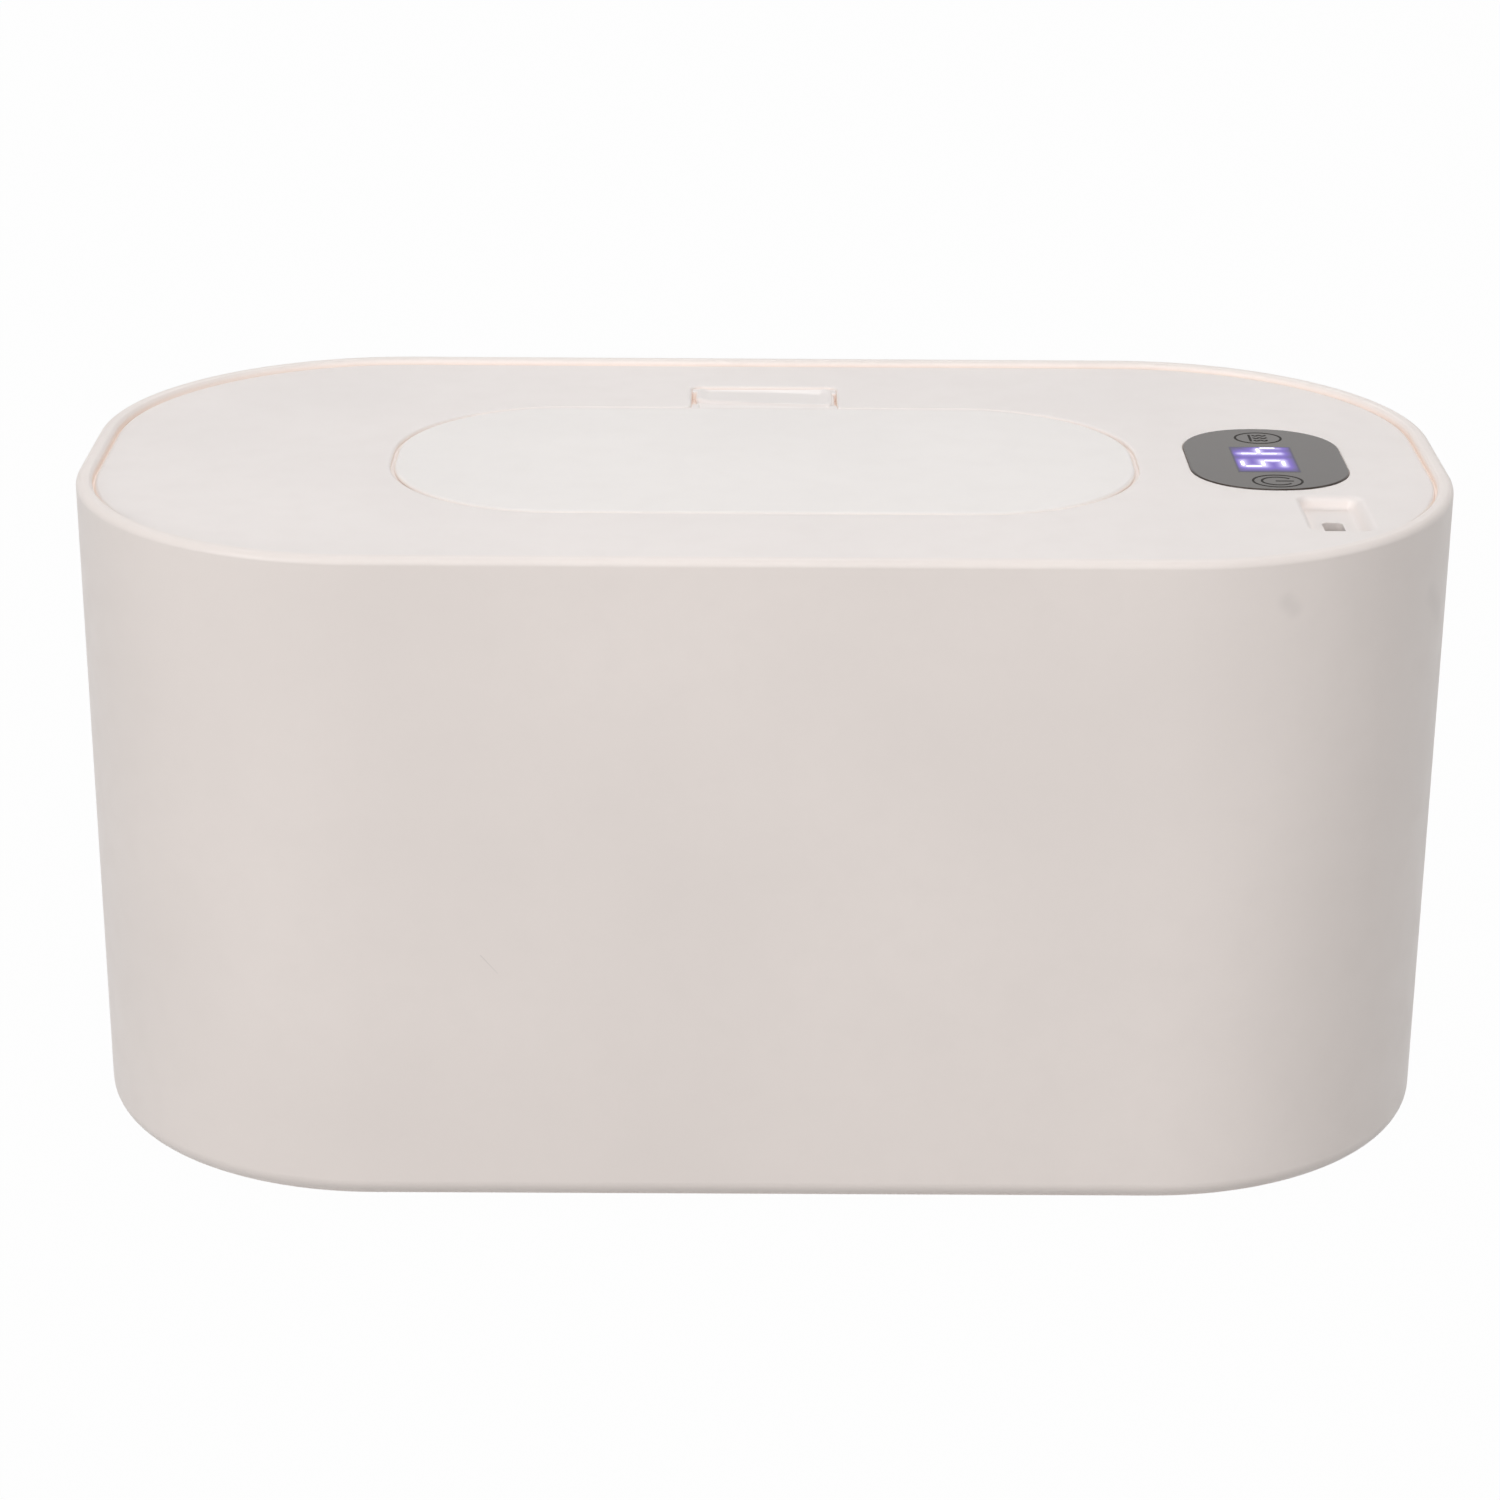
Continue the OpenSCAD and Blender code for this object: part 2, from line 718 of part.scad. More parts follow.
module flap_seal() {
    color([0.84, 0.84, 0.82])
    stadium_ring(mouth_w + 11.6, mouth_d + 11.6, 2.8, well_z + 1.8, 2.1);
}

module hinge_pin() {
    color([0.70, 0.71, 0.73])
    along_x(-hinge_half - 0.9, 2 * hinge_half + 1.8)
        translate([pin_y, pin_z]) circle(r = pin_r, $fn = 48);
}

// Torsion spring round the hinge pin: one leg bears on the pocket, the other pushes the arm
module flap_spring() {
    turns = 6;
    r = 1.3;
    x0 = 11.5;
    pitch = 1.1;
    start = 190;
    coil_run = [for (k = [0:turns * curl_steps])
        let (a = start + 360 * k / curl_steps)
        [x0 + pitch * k / curl_steps, pin_y + r * cos(a), pin_z + r * sin(a)]];
    low = [[x0 - 0.3, hinge_front + 0.9, pin_z - 5], [x0 - 0.2, pin_y - 1.9, pin_z - 2.2]];
    x1 = x0 + pitch * turns;
    high = [[x1 + 0.5, pin_y - 1.7, pin_z - 1.9], [x1 + 0.9, pin_y - 2.45, pin_z - 4],
        [x1 + 3.5, pin_y - 2.5, pin_z - 4.4]];
    echo(flap_spring_gap = least_gap(coil_run, spring_wire / 2));
    color([0.72, 0.73, 0.75])
    wire(concat(low, coil_run, high), spring_wire / 2, [1, 0, 0]);
}

module latch_button() {
    top = lid_z - 0.1;
    front = button_back - button_l;
    mid = (front + button_back) / 2;
    color([0.93, 0.90, 0.88])
    difference() {
        union() {
            translate([0, mid, top - 2.2]) linear_extrude(2.2)
                rounded(button_w, button_l, 1.3);
            // Side plates that slide in the pocket, and the foot that presses the hook
            for (x = [-button_w / 2 + 0.3, button_w / 2 - 1.5])
                block([x, x + 1.2], [front + 1, button_back - 1], [top - 7.5, top - 2]);
            block([-2.5, 2.5], [foot_y - 0.7, foot_y + 0.7], [hook_z + 1.1, top - 2]);
        }
        // Shallow dish for the fingertip
        translate([0, mid + 0.4, top + 7.1])
            rotate([0, 90, 0]) cylinder(r = 7.9, h = button_w - 3.2, center = true);
    }
}

module latch_hook() {
    color([0.88, 0.87, 0.85])
    along_x(-hook_half, 2 * hook_half)
        translate([hook_y, hook_z])
            difference() {
                union() {
                    circle(r = 1.8, $fn = 48);
                    translate([0, -0.9]) square([7.4, 1.8]);
                    polygon([[-1.7, 0], [0.6, 1.2], [-0.8, 2.6], [-1, 4.6], [-4, 4],
                        [-4, 3.1], [-2.6, 3.1], [-2.6, 1.4]]);
                }
                circle(r = pin_r + running, $fn = 48);
            }
}

module hook_pin() {
    color([0.70, 0.71, 0.73])
    along_x(-hook_pin_half + 0.1, 2 * hook_pin_half - 0.2)
        translate([hook_y, hook_z]) circle(r = pin_r, $fn = 48);
}

module latch_spring() {
    wire_r = 0.2;
    turns = coil(1.5, 3, well_z + wire_r + 0.02, hook_z - 0.9 - wire_r - 0.05);
    echo(latch_spring_gap = least_gap(turns, wire_r));
    color([0.72, 0.73, 0.75])
    translate([0, foot_y, 0]) wire(turns, wire_r);
}

outer_case();
inner_tub();
rubber_feet();
lid_cover();
dispenser_well();
lid_base();
lid_seal();
heating_plate();
heater_film();
insulation_pad();
thermal_fuse();
temperature_sensor();
control_board();
digit_display();
touch_springs();
usb_socket();
control_chip();
power_transistor();
input_capacitor();
wire_connectors();
heater_wires();
sensor_wires();
display_film();
lid_screws();
well_screws();
board_screws();
plate_screws();
flap();
flap_seal();
hinge_pin();
flap_spring();
latch_button();
latch_hook();
hook_pin();
latch_spring();
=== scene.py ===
"""A baby wipe warmer: smooth outer pieces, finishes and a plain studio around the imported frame."""

import json
import math

import bpy
import numpy as np
from mathutils import Matrix, Vector
from mathutils.geometry import tessellate_polygon


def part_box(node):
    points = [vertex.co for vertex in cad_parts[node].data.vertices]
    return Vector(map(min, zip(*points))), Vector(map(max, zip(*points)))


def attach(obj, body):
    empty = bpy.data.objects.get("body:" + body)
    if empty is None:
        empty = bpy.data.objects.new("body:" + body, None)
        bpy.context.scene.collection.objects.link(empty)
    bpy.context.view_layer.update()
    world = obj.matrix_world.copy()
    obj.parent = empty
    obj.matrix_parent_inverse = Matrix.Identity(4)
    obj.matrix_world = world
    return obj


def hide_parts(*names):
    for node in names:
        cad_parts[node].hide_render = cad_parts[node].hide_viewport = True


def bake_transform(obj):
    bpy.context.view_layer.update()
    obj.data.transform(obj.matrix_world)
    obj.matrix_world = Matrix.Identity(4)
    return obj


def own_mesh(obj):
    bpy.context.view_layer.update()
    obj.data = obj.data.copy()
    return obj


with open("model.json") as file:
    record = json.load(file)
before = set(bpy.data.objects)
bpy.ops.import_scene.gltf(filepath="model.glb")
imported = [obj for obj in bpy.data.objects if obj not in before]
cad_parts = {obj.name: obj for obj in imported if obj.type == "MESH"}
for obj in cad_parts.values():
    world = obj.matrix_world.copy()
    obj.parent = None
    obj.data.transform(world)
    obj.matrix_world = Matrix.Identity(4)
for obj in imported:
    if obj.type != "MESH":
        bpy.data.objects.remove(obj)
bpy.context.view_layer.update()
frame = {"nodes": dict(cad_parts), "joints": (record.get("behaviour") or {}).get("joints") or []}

bl_info = {
    "name": "Wipe warmer",
    "version": (1, 0, 0),
    "blender": (4, 5, 0),
    "location": "View3D > Sidebar > Warmer",
    "description": "Builds the outer pieces, finishes and studio of a baby wipe warmer",
    "category": "Object",
}

MM = 0.001
CASE_LOW, CASE_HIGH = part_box("outer_case")
TUB_LOW, TUB_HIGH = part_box("inner_tub")
FEET_LOW, FEET_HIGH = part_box("rubber_feet")
LID_LOW, LID_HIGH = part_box("lid_cover")
WELL_LOW, WELL_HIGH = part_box("dispenser_well")
SEAL_LOW, SEAL_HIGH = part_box("flap_seal")
FLAP_LOW, FLAP_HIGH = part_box("flap")
BUTTON_LOW, BUTTON_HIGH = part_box("latch_button")
FILM_LOW, FILM_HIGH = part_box("display_film")
SOCKET_LOW, SOCKET_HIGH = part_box("usb_socket")
SPRING_LOW, SPRING_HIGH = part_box("flap_spring")
KEYS_LOW, KEYS_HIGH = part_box("touch_springs")
RETURN_LOW, RETURN_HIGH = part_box("latch_spring")
JOINTS = {joint["name"]: joint for joint in frame["joints"]}
HINGE = np.array(JOINTS["flap_hinge"]["pos_m"])
UNDER_Z = WELL_HIGH.z
TOP_Z = LID_HIGH.z


def length(name, about, default_mm):
    """A length in metres that a user may change, given in millimetres."""
    return bpy.props.FloatProperty(name=name, description=about, default=default_mm * MM, unit="LENGTH", precision=5)


def colour(name, about, default):
    """An sRGB colour written as hex."""
    return bpy.props.StringProperty(name=name, description=about, default=default)


class WarmerSizes(bpy.types.PropertyGroup):
    """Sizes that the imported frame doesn't give by its boxes."""

    corner_r: length("Corner radius", "Plan radius of the case's upright corners", 45)
    wall: length("Wall", "Thickness of the case's wall", 2.4)
    draft: bpy.props.FloatProperty(
        name="Draft", description="Lean of the case's wall", default=math.radians(0.45), subtype="ANGLE")
    bottom_r: length("Bottom edge", "Radius of the case's bottom edge", 3)
    rim_r: length("Rim edge", "Radius of both edges of the case's rim", 1.05)
    tub_gap: length("Tub gap", "From the case's outside to the tub's outside", 5.2)
    tub_wall: length("Tub wall", "Thickness of the tub's wall", 1.5)
    foot_r: length("Foot", "Radius of a foot", 5)
    shell_t: length("Lid wall", "Thickness of the lid's skirt", 1.6)
    lid_edge: length("Lid edge", "Radius of the lid's outer edge", 0.5)
    flap_d: length("Flap depth", "Depth of the flap from front to back", 55.8)
    flap_r: length("Flap corner", "Corner radius of the flap", 25)
    flap_gap: length("Flap gap", "Gap between the flap and the lid", 0.6)
    flap_edge: length("Flap edge", "Radius of the flap's top edge", 0.5)
    flap_t: length("Flap thickness", "Thickness of the flap's slab", 2.2)
    notch_w: length("Notch", "Width of the notch for the button", 23.2)
    notch_back: length("Notch back", "Distance of the notch's back from the middle", 39.6)
    button_l: length("Button", "Length of the button from front to back", 11.2)
    dish_depth: length("Dish", "Depth of the button's dish", 0.4)
    film_r: length("Film", "Radius of the film's front and back edges", 16.3)
    film_side_r: length("Film side", "Radius that joins the film's edges to its sides", 10.6)
    film_edge: length("Film edge", "Radius of the film's top edge", 0.22)
    window_x: length("Window", "Distance of the digits' window from the middle", 75.8)
    window_y: length("Window front", "Distance of the digits' window to the back", -1.3)
    window_w: length("Window width", "Width of the digits' window", 9.4)
    window_l: length("Window length", "Length of the digits' window", 13.5)
    inlet_x: length("Inlet", "Distance of the inlet's recess from the middle", 82.95)
    inlet_y: length("Inlet front", "Distance of the inlet's recess to the back", -28.25)
    inlet_w: length("Inlet width", "Width of the inlet's recess", 9.0)
    inlet_l: length("Inlet length", "Length of the inlet's recess", 16.5)
    inlet_deep: length("Inlet depth", "Depth of the inlet's recess", 1.85)
    inlet_edge: length("Inlet edge", "Radius of the recess's top edge", 0.9)


class WarmerColours(bpy.types.PropertyGroup):
    """Colours in sRGB hex."""

    case: colour("Case", "Moulded ABS of the case", "#EFE6E1")
    lid: colour("Lid", "Moulded ABS of the lid", "#EEE7E4")
    flap: colour("Flap", "Moulded ABS of the flap", "#F0EBE8")
    tub: colour("Tub", "Moulded polypropylene of the tub", "#F1EFEB")
    film: colour("Film", "Smoked acrylic over the display", "#2E2219")
    glow: colour("Glow", "Light around the digits", "#6448B4")
    silicone: colour("Silicone", "Seals and feet", "#D9D8D5")


def linear(text):
    """An sRGB hex colour as linear red, green, blue and alpha."""
    value = np.array([int(text[k:k + 2], 16) for k in (1, 3, 5)]) / 255
    value = np.where(value <= 0.04045, value / 12.92, ((value + 0.055) / 1.055) ** 2.4)
    return (*value.tolist(), 1.0)


# Lines in plan. A line is its points and, for each point, the direction outwards.


def unit(v):
    """v divided by its own length."""
    return v / np.linalg.norm(v, axis=-1, keepdims=True)


def rounded_line(corners, closed=True, steps=10, margin=0.15 * MM):
    """A line through corners (x, y, radius), anticlockwise where closed.

    An arc leaves its side radius x tan(half the turn) before the corner and turns evenly about its own centre.
    One more point stands a margin before and after each arc, or less where the side between two arcs is short, which
    keeps the flats' shading flat."""
    corners = np.asarray(corners, float)
    place, radius = corners[:, :2], corners[:, 2]
    ahead = unit(np.roll(place, -1, 0) - place)
    behind = np.roll(ahead, 1, 0)
    turn = np.arctan2(behind[:, 0] * ahead[:, 1] - behind[:, 1] * ahead[:, 0], (behind * ahead).sum(1))
    cut = (radius * np.tan(np.abs(turn) / 2))[:, None]
    bend = radius * np.sign(turn)
    out_at = np.arctan2(-behind[:, 0], behind[:, 1])
    angle = out_at[:, None] + turn[:, None] * np.linspace(0, 1, steps + 1)
    out = np.stack([np.cos(angle), np.sin(angle)], -1)
    start = place - behind * cut
    arcs = start[:, None] + (out - out[:, :1]) * bend[:, None, None]
    side = np.linalg.norm(np.roll(place, -1, 0) - place, axis=1)[:, None]
    spare = np.clip(0.45 * (side - cut - np.roll(cut, -1, 0)), 0, margin)
    before = start - behind * np.roll(spare, 1, 0)
    after = place + ahead * (cut + spare)
    points = np.concatenate([before[:, None], arcs, after[:, None]], 1)
    out = np.concatenate([out[:, :1], out, out[:, -1:]], 1)
    if closed:
        return points.reshape(-1, 2), out.reshape(-1, 2)
    points = np.concatenate([place[:1], points[1:-1].reshape(-1, 2), place[-1:]])
    new = np.linalg.norm(np.diff(points, axis=0), axis=1) > 1e-8
    return points[np.concatenate([[True], new])]


def plan(width, depth, radius, centre=(0, 0), steps=24, margin=0.3 * MM):
    """A rounded rectangle about a centre."""
    a, b = width / 2, depth / 2
    x, y = centre
    return rounded_line([(x - a, y - b, radius), (x + a, y - b, radius), (x + a, y + b, radius),
                         (x - a, y + b, radius)], steps=steps, margin=margin)


def arc(centre, radius, start, end, steps):
    """Points of an arc about a centre from one angle to another, in degrees, with their directions outwards."""
    angle = np.radians(np.linspace(start, end, steps + 1))
    out = np.stack([np.cos(angle), np.sin(angle)], -1)
    return np.asarray(centre) + radius * out, out


def ring(centre, radius, steps=48):
    """A full circle about a centre."""
    points, out = arc(centre, radius, 0, 360, steps)
    return points[:-1], out[:-1]


def stadium(width, depth, centre, steps=24):
    """A straight run along X with two half-round ends."""
    return plan(width, depth, min(width, depth) / 2 - 0.01 * MM, centre, steps, 0.004 * MM)


# Surfaces. A surface is its points and its faces, as whole arrays.


def grid_faces(rows, columns, rows_closed=False, columns_closed=True):
    """Quads between neighbouring rows, from point (i, j) to (i + 1, j + 1)."""
    i, j = np.meshgrid(np.arange(rows if rows_closed else rows - 1),
                       np.arange(columns if columns_closed else columns - 1), indexing="ij")
    i2, j2 = (i + 1) % rows, (j + 1) % columns
    return np.stack([i * columns + j, i * columns + j2, i2 * columns + j2, i2 * columns + j], -1).reshape(-1, 4)


def skin(line, profile, ring_like=False, caps=(False, False)):
    """A profile (offset, height) carried round a line: each point moves out by the offset and up to the height."""
    points, out = line
    profile = np.asarray(profile, float)
    spread = points[None] + out[None] * profile[:, None, :1]
    height = np.broadcast_to(profile[:, None, 1:], (*spread.shape[:2], 1))
    count = len(points)
    faces = [grid_faces(len(profile), count, rows_closed=ring_like)]
    if caps[0]:
        faces.append(np.arange(count)[None, ::-1])
    if caps[1]:
        faces.append((np.arange(count) + (len(profile) - 1) * count)[None])
    return np.concatenate([spread, height], -1).reshape(-1, 3), faces


def flat(lines, height, up=True):
    """A level face at a height inside the first line and outside the others."""
    loops = [np.column_stack([points, np.full(len(points), height)]) for points in lines]
    points = np.concatenate(loops)
    triangles = np.array(tessellate_polygon([list(map(Vector, loop.tolist())) for loop in loops]))
    a, b, c = (points[triangles[:, k], :2] for k in range(3))
    area = (b[:, 0] - a[:, 0]) * (c[:, 1] - a[:, 1]) - (b[:, 1] - a[:, 1]) * (c[:, 0] - a[:, 0])
    triangles = triangles[np.abs(area) > 1e-14]
    wrong = (area[np.abs(area) > 1e-14] > 0) != up
    triangles[wrong] = triangles[wrong][:, ::-1]
    return points, [triangles]


def moved_out(line, offset):
    """The points of a line moved outwards."""
    points, out = line
    return points + out * offset


def solid(line, low, high, edge=0.2 * MM, steps=4):
    """A closed block over a line, from a low to a high height, with both edges rounded."""
    inset = edge + 0.02 * MM
    profile = rounded_line([(-inset, low, 0), (0, low, edge), (0, high, edge), (-inset, high, 0)],
                           closed=False, steps=steps, margin=0.02 * MM)
    return skin(line, profile, caps=(True, True))


def tube(line, wall, low, high, edge=0.2 * MM, steps=4):
    """A closed ring over a line: its outside on the line, its inside a wall further in."""
    points, _ = rounded_line([(0, low, edge), (0, high, edge), (-wall, high, edge), (-wall, low, edge)],
                             steps=steps, margin=0.02 * MM)
    return skin(line, points, ring_like=True)


def along_x(surface, x=0.0):
    """A surface drawn in Y, Z and height, with its height laid along X from x."""
    points, faces = surface
    return np.column_stack([points[:, 2] + x, points[:, 0], points[:, 1]]), faces


def wire(path, radius, helper, sides=12):
    """A round wire along a path: at each point a circle stands square to the run, turned by a helper direction."""
    path = np.asarray(path, float)
    run = unit(np.gradient(path, axis=0))
    across = unit(np.cross(run, np.asarray(helper, float)))
    over = np.cross(run, across)
    angle = np.linspace(0, 2 * np.pi, sides, endpoint=False)[None, :, None]
    points = path[:, None] + radius * (np.cos(angle) * across[:, None] + np.sin(angle) * over[:, None])
    count = len(path)
    faces = [grid_faces(count, sides), np.arange(sides)[None, ::-1], np.arange(sides)[None] + (count - 1) * sides]
    return points.reshape(-1, 3), faces


def smooth_path(places, per=8):
    """A curve through places: between two of them it is the cubic whose slopes are half the step between neighbours."""
    p = np.asarray(places, float)
    slope = np.gradient(p, axis=0)
    t = (np.arange(per) / per)[None, :, None]
    a, b, sa, sb = p[:-1, None], p[1:, None], slope[:-1, None], slope[1:, None]
    curve = a * (1 + 2 * t) * (1 - t) ** 2 + sa * t * (1 - t) ** 2 + b * t * t * (3 - 2 * t) - sb * t * t * (1 - t)
    return np.concatenate([curve.reshape(-1, 3), p[-1:]])


def helix(radius, turns, low, high, per_turn=24):
    """Turns about Z: the angle and the height grow together."""
    share = np.linspace(0, 1, int(turns * per_turn) + 1)
    angle = 2 * np.pi * turns * share
    return np.column_stack([radius * np.cos(angle), radius * np.sin(angle), low + (high - low) * share])


def piece(name, surfaces, finish, body, stands_for=(), sharp=38):
    """Joins surfaces into one mesh, merges the seams, and rides it on its body, if it has just one."""
    shift, points, faces = 0, [], []
    for some_points, blocks in surfaces:
        points.append(some_points)
        faces += [row for block in blocks for row in (block + shift).tolist()]
        shift += len(some_points)
    mesh = bpy.data.meshes.new(name)
    mesh.from_pydata(np.concatenate(points).tolist(), [], faces)
    made = bpy.data.objects.new(name, mesh)
    bpy.context.scene.collection.objects.link(made)
    merge(mesh)
    mesh.shade_smooth()
    mesh.set_sharp_from_angle(angle=math.radians(sharp))
    mesh.materials.append(finish)
    if body:
        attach(made, body)
    if stands_for:
        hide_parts(*stands_for)
    return made


def merge(mesh):
    """Closes the seams between surfaces that share their edges."""
    import bmesh

    work = bmesh.new()
    work.from_mesh(mesh)
    bmesh.ops.remove_doubles(work, verts=work.verts, dist=1e-7)
    work.to_mesh(mesh)
    work.free()


# Node materials.


def add(tree, kind, inputs=None, **settings):
    """Adds one node with its settings, and sets or links its inputs."""
    made = tree.nodes.new(kind)
    for name, value in settings.items():
        setattr(made, name, value)
    for key, value in (inputs or {}).items():
        if isinstance(value, bpy.types.NodeSocket):
            tree.links.new(value, made.inputs[key])
        else:
            made.inputs[key].default_value = value
    return made


def new_material(name, sockets):
    """A node material with one principled shader, whose plain values are set on its own sockets."""
    material = bpy.data.materials.new(name)
    material.use_nodes = True
    tree = material.node_tree
    shader = tree.nodes["Principled BSDF"]
    for key, value in sockets.items():
        shader.inputs[key].default_value = value
    place = add(tree, "ShaderNodeTexCoord").outputs["Object"]
    return material, tree, shader, place


def noise(tree, place, size, detail=3.0, rough=0.5):
    """Noise whose features are about one size across, in metres."""
    return add(tree, "ShaderNodeTexNoise", {"Vector": place, "Scale": 1 / size, "Detail": detail,
                                            "Roughness": rough}).outputs["Fac"]


def spread(tree, value, low, high, from_low=0.3, from_high=0.7):
    """A value carried from one range to another."""
    return add(tree, "ShaderNodeMapRange", {"Value": value, "From Min": from_low, "From Max": from_high,
                                            "To Min": low, "To Max": high}).outputs["Result"]


def tinted(tree, colour_a, colour_b, share):
    """A mix of two colours by a share, where either colour may be a socket."""
    mixed = add(tree, "ShaderNodeMix", {"Factor": share}, data_type="RGBA")
    for key, value in ((6, colour_a), (7, colour_b)):
        if isinstance(value, bpy.types.NodeSocket):
            tree.links.new(value, mixed.inputs[key])
        else:
            mixed.inputs[key].default_value = value
    return mixed.outputs[2]


def bumped(tree, shader, height, depth):
    """Relief of a depth in metres on the shader's normal."""
    bump = add(tree, "ShaderNodeBump", {"Height": height, "Distance": depth, "Strength": 1.0})
    tree.links.new(bump.outputs["Normal"], shader.inputs["Normal"])


def scaled(colour_value, factor):
    """A linear colour made lighter or darker."""
    return (*[min(1.0, c * factor) for c in colour_value[:3]], 1.0)


def moulded_abs(name, base, rough=0.42, marks=()):
    """Moulded ABS: fine spark-eroded grain, drawn at 0.5 mm so that it shows, a satin sheen that drifts a little
    where the melt cooled unevenly, faint handling marks given as (start, end, reach, share), and a painted warm glow
    in its gaps, seams and recesses, from an ambient-occlusion mask, that stands in for light passing through the
    plastic."""
    material, tree, shader, place = new_material(name, {
        "IOR": 1.54})
    flow = noise(tree, place, 45 * MM, 2.0)
    mottle = noise(tree, place, 5 * MM, 4.0)
    tone = tinted(tree, scaled(base, 0.972), scaled(base, 1.022), spread(tree, flow, 0, 1))
    tone = tinted(tree, tone, scaled(base, 0.965), spread(tree, mottle, 0, 0.35, 0.45, 0.8))
    for start, end, reach, share in marks:
        tone = tinted(tree, tone, linear("#8E8A88"), handled(tree, place, start, end, reach, share))
    tree.links.new(tone, shader.inputs["Base Color"])
    tree.links.new(spread(tree, mottle, rough - 0.04, rough + 0.05), shader.inputs["Roughness"])
    bumped(tree, shader, noise(tree, place, 0.5 * MM, 2.0), 0.004 * MM)
    # Painted light: a warm emission glow, full where the AO node finds the surface closed in and gone where it is open,
    # stands in for light that passes through the plastic into gaps, seams and recesses.
    openness_for_painted_gap_glow = add(tree, "ShaderNodeAmbientOcclusion", {"Distance": 2.5 * MM}, samples=4).outputs["AO"]
    tree.links.new(spread(tree, openness_for_painted_gap_glow, 0.15, 0.0, 0.25, 0.95), shader.inputs["Emission Strength"])
    shader.inputs["Emission Color"].default_value = linear("#E4C6B0")
    return material


def handled(tree, place, start, end, reach, share):
    """How strongly a mark shows: full on the line from start to end, and gone a reach away from it.

    The nearest point of the line is start + clamp(along / length) x (end - start)."""
    start, end = np.asarray(start, float), np.asarray(end, float)
    run = end - start
    away = add(tree, "ShaderNodeVectorMath", {0: place, 1: start.tolist()}, operation="SUBTRACT").outputs["Vector"]
    dot = add(tree, "ShaderNodeVectorMath", {0: away, 1: (run / (run @ run)).tolist()},
              operation="DOT_PRODUCT").outputs["Value"]
    share_along = add(tree, "ShaderNodeClamp", {"Value": dot}).outputs["Result"]
    nearest = add(tree, "ShaderNodeVectorMath", {0: run.tolist(), "Scale": share_along}, operation="SCALE")
    gap = add(tree, "ShaderNodeVectorMath", {0: away, 1: nearest.outputs["Vector"]}, operation="DISTANCE")
    fade = add(tree, "ShaderNodeMapRange", {"Value": gap.outputs["Value"], "From Min": 0.0, "From Max": reach,
                                            "To Min": share, "To Max": 0.0}, interpolation_type="SMOOTHSTEP")
    return fade.outputs["Result"]


def plain_finish(name, base, sockets, grain, depth, contrast=0.08, stretch=(1, 1, 1)):
    """A finish with grain of one size, stretched along an axis where it was drawn or rolled."""
    material, tree, shader, place = new_material(name, sockets)
    place = add(tree, "ShaderNodeMapping", {"Vector": place, "Scale": stretch}).outputs["Vector"]
    speckle = noise(tree, place, grain, 3.0)
    tone = tinted(tree, scaled(base, 1 - contrast), scaled(base, 1 + contrast), spread(tree, speckle, 0, 1))
    tree.links.new(tone, shader.inputs["Base Color"])
    rough = sockets.get("Roughness", 0.5)
    tree.links.new(spread(tree, speckle, max(0.03, rough - 0.06), rough + 0.06), shader.inputs["Roughness"])
    bumped(tree, shader, speckle, depth)
    return material


def smoked_acrylic(base):
    """Smoked acrylic: dark inside, with a clear polished face that mirrors the room at a low angle."""
    material, tree, shader, place = new_material("smoked_acrylic_film", {
        "IOR": 1.425, "Roughness": 0.16, "Specular Tint": (1.0, 0.955, 0.93, 1.0)})
    haze = noise(tree, place, 6 * MM, 2.0)
    tone = tinted(tree, scaled(base, 0.94), scaled(base, 1.06), spread(tree, haze, 0, 1))
    tree.links.new(tone, shader.inputs["Base Color"])
    tree.links.new(spread(tree, haze, 0.13, 0.2), shader.inputs["Roughness"])
    bumped(tree, shader, noise(tree, place, 9 * MM, 1.0), 0.01 * MM)
    return material


def lit_diffuser(base):
    """The milky diffuser behind the film: each digit's light spreads by the attribute glow and dies at the edges."""
    material, tree, shader, _ = new_material("lit_diffuser", {"IOR": 1.49, "Roughness": 0.18,
                                                              "Specular IOR Level": 0.12,
                                                              "Base Color": linear("#0D0A16")})
    glow = add(tree, "ShaderNodeAttribute", attribute_name="glow").outputs["Fac"]
    light = tinted(tree, linear("#241C3C"), base, spread(tree, glow, 0, 1, 0.0, 0.25))
    light = tinted(tree, light, linear("#D6CBFF"), spread(tree, glow, 0, 1, 0.27, 0.95))
    tree.links.new(light, shader.inputs["Emission Color"])
    shader.inputs["Emission Strength"].default_value = 1.0
    return material


def lit_segment():
    """A digit's bar, bright enough to read as white."""
    material, tree, shader, place = new_material("lit_segment", {"Roughness": 0.3, "Base Color": linear("#E9E6FF")})
    tone = tinted(tree, linear("#E6E0FF"), linear("#FFFFFF"), spread(tree, noise(tree, place, 1 * MM), 0, 1))
    tree.links.new(tone, shader.inputs["Emission Color"])
    shader.inputs["Emission Strength"].default_value = 1.0
    return material


def heater_foil(base):
    """Amber polyimide with the etched heating track showing through as close dark bands, 2.4 mm apart."""
    material, tree, shader, place = new_material("polyimide_heater", {"IOR": 1.7, "Roughness": 0.25})
    bands = add(tree, "ShaderNodeTexWave", {"Vector": place, "Scale": 1 / (2.4 * MM) / 6.283, "Distortion": 0.0},
                wave_type="BANDS", bands_direction="Y")
    tone = tinted(tree, base, scaled(base, 0.45), spread(tree, bands.outputs["Fac"], 0, 1, 0.55, 0.7))
    tree.links.new(tone, shader.inputs["Base Color"])
    bumped(tree, shader, bands.outputs["Fac"], 0.02 * MM)
    return material


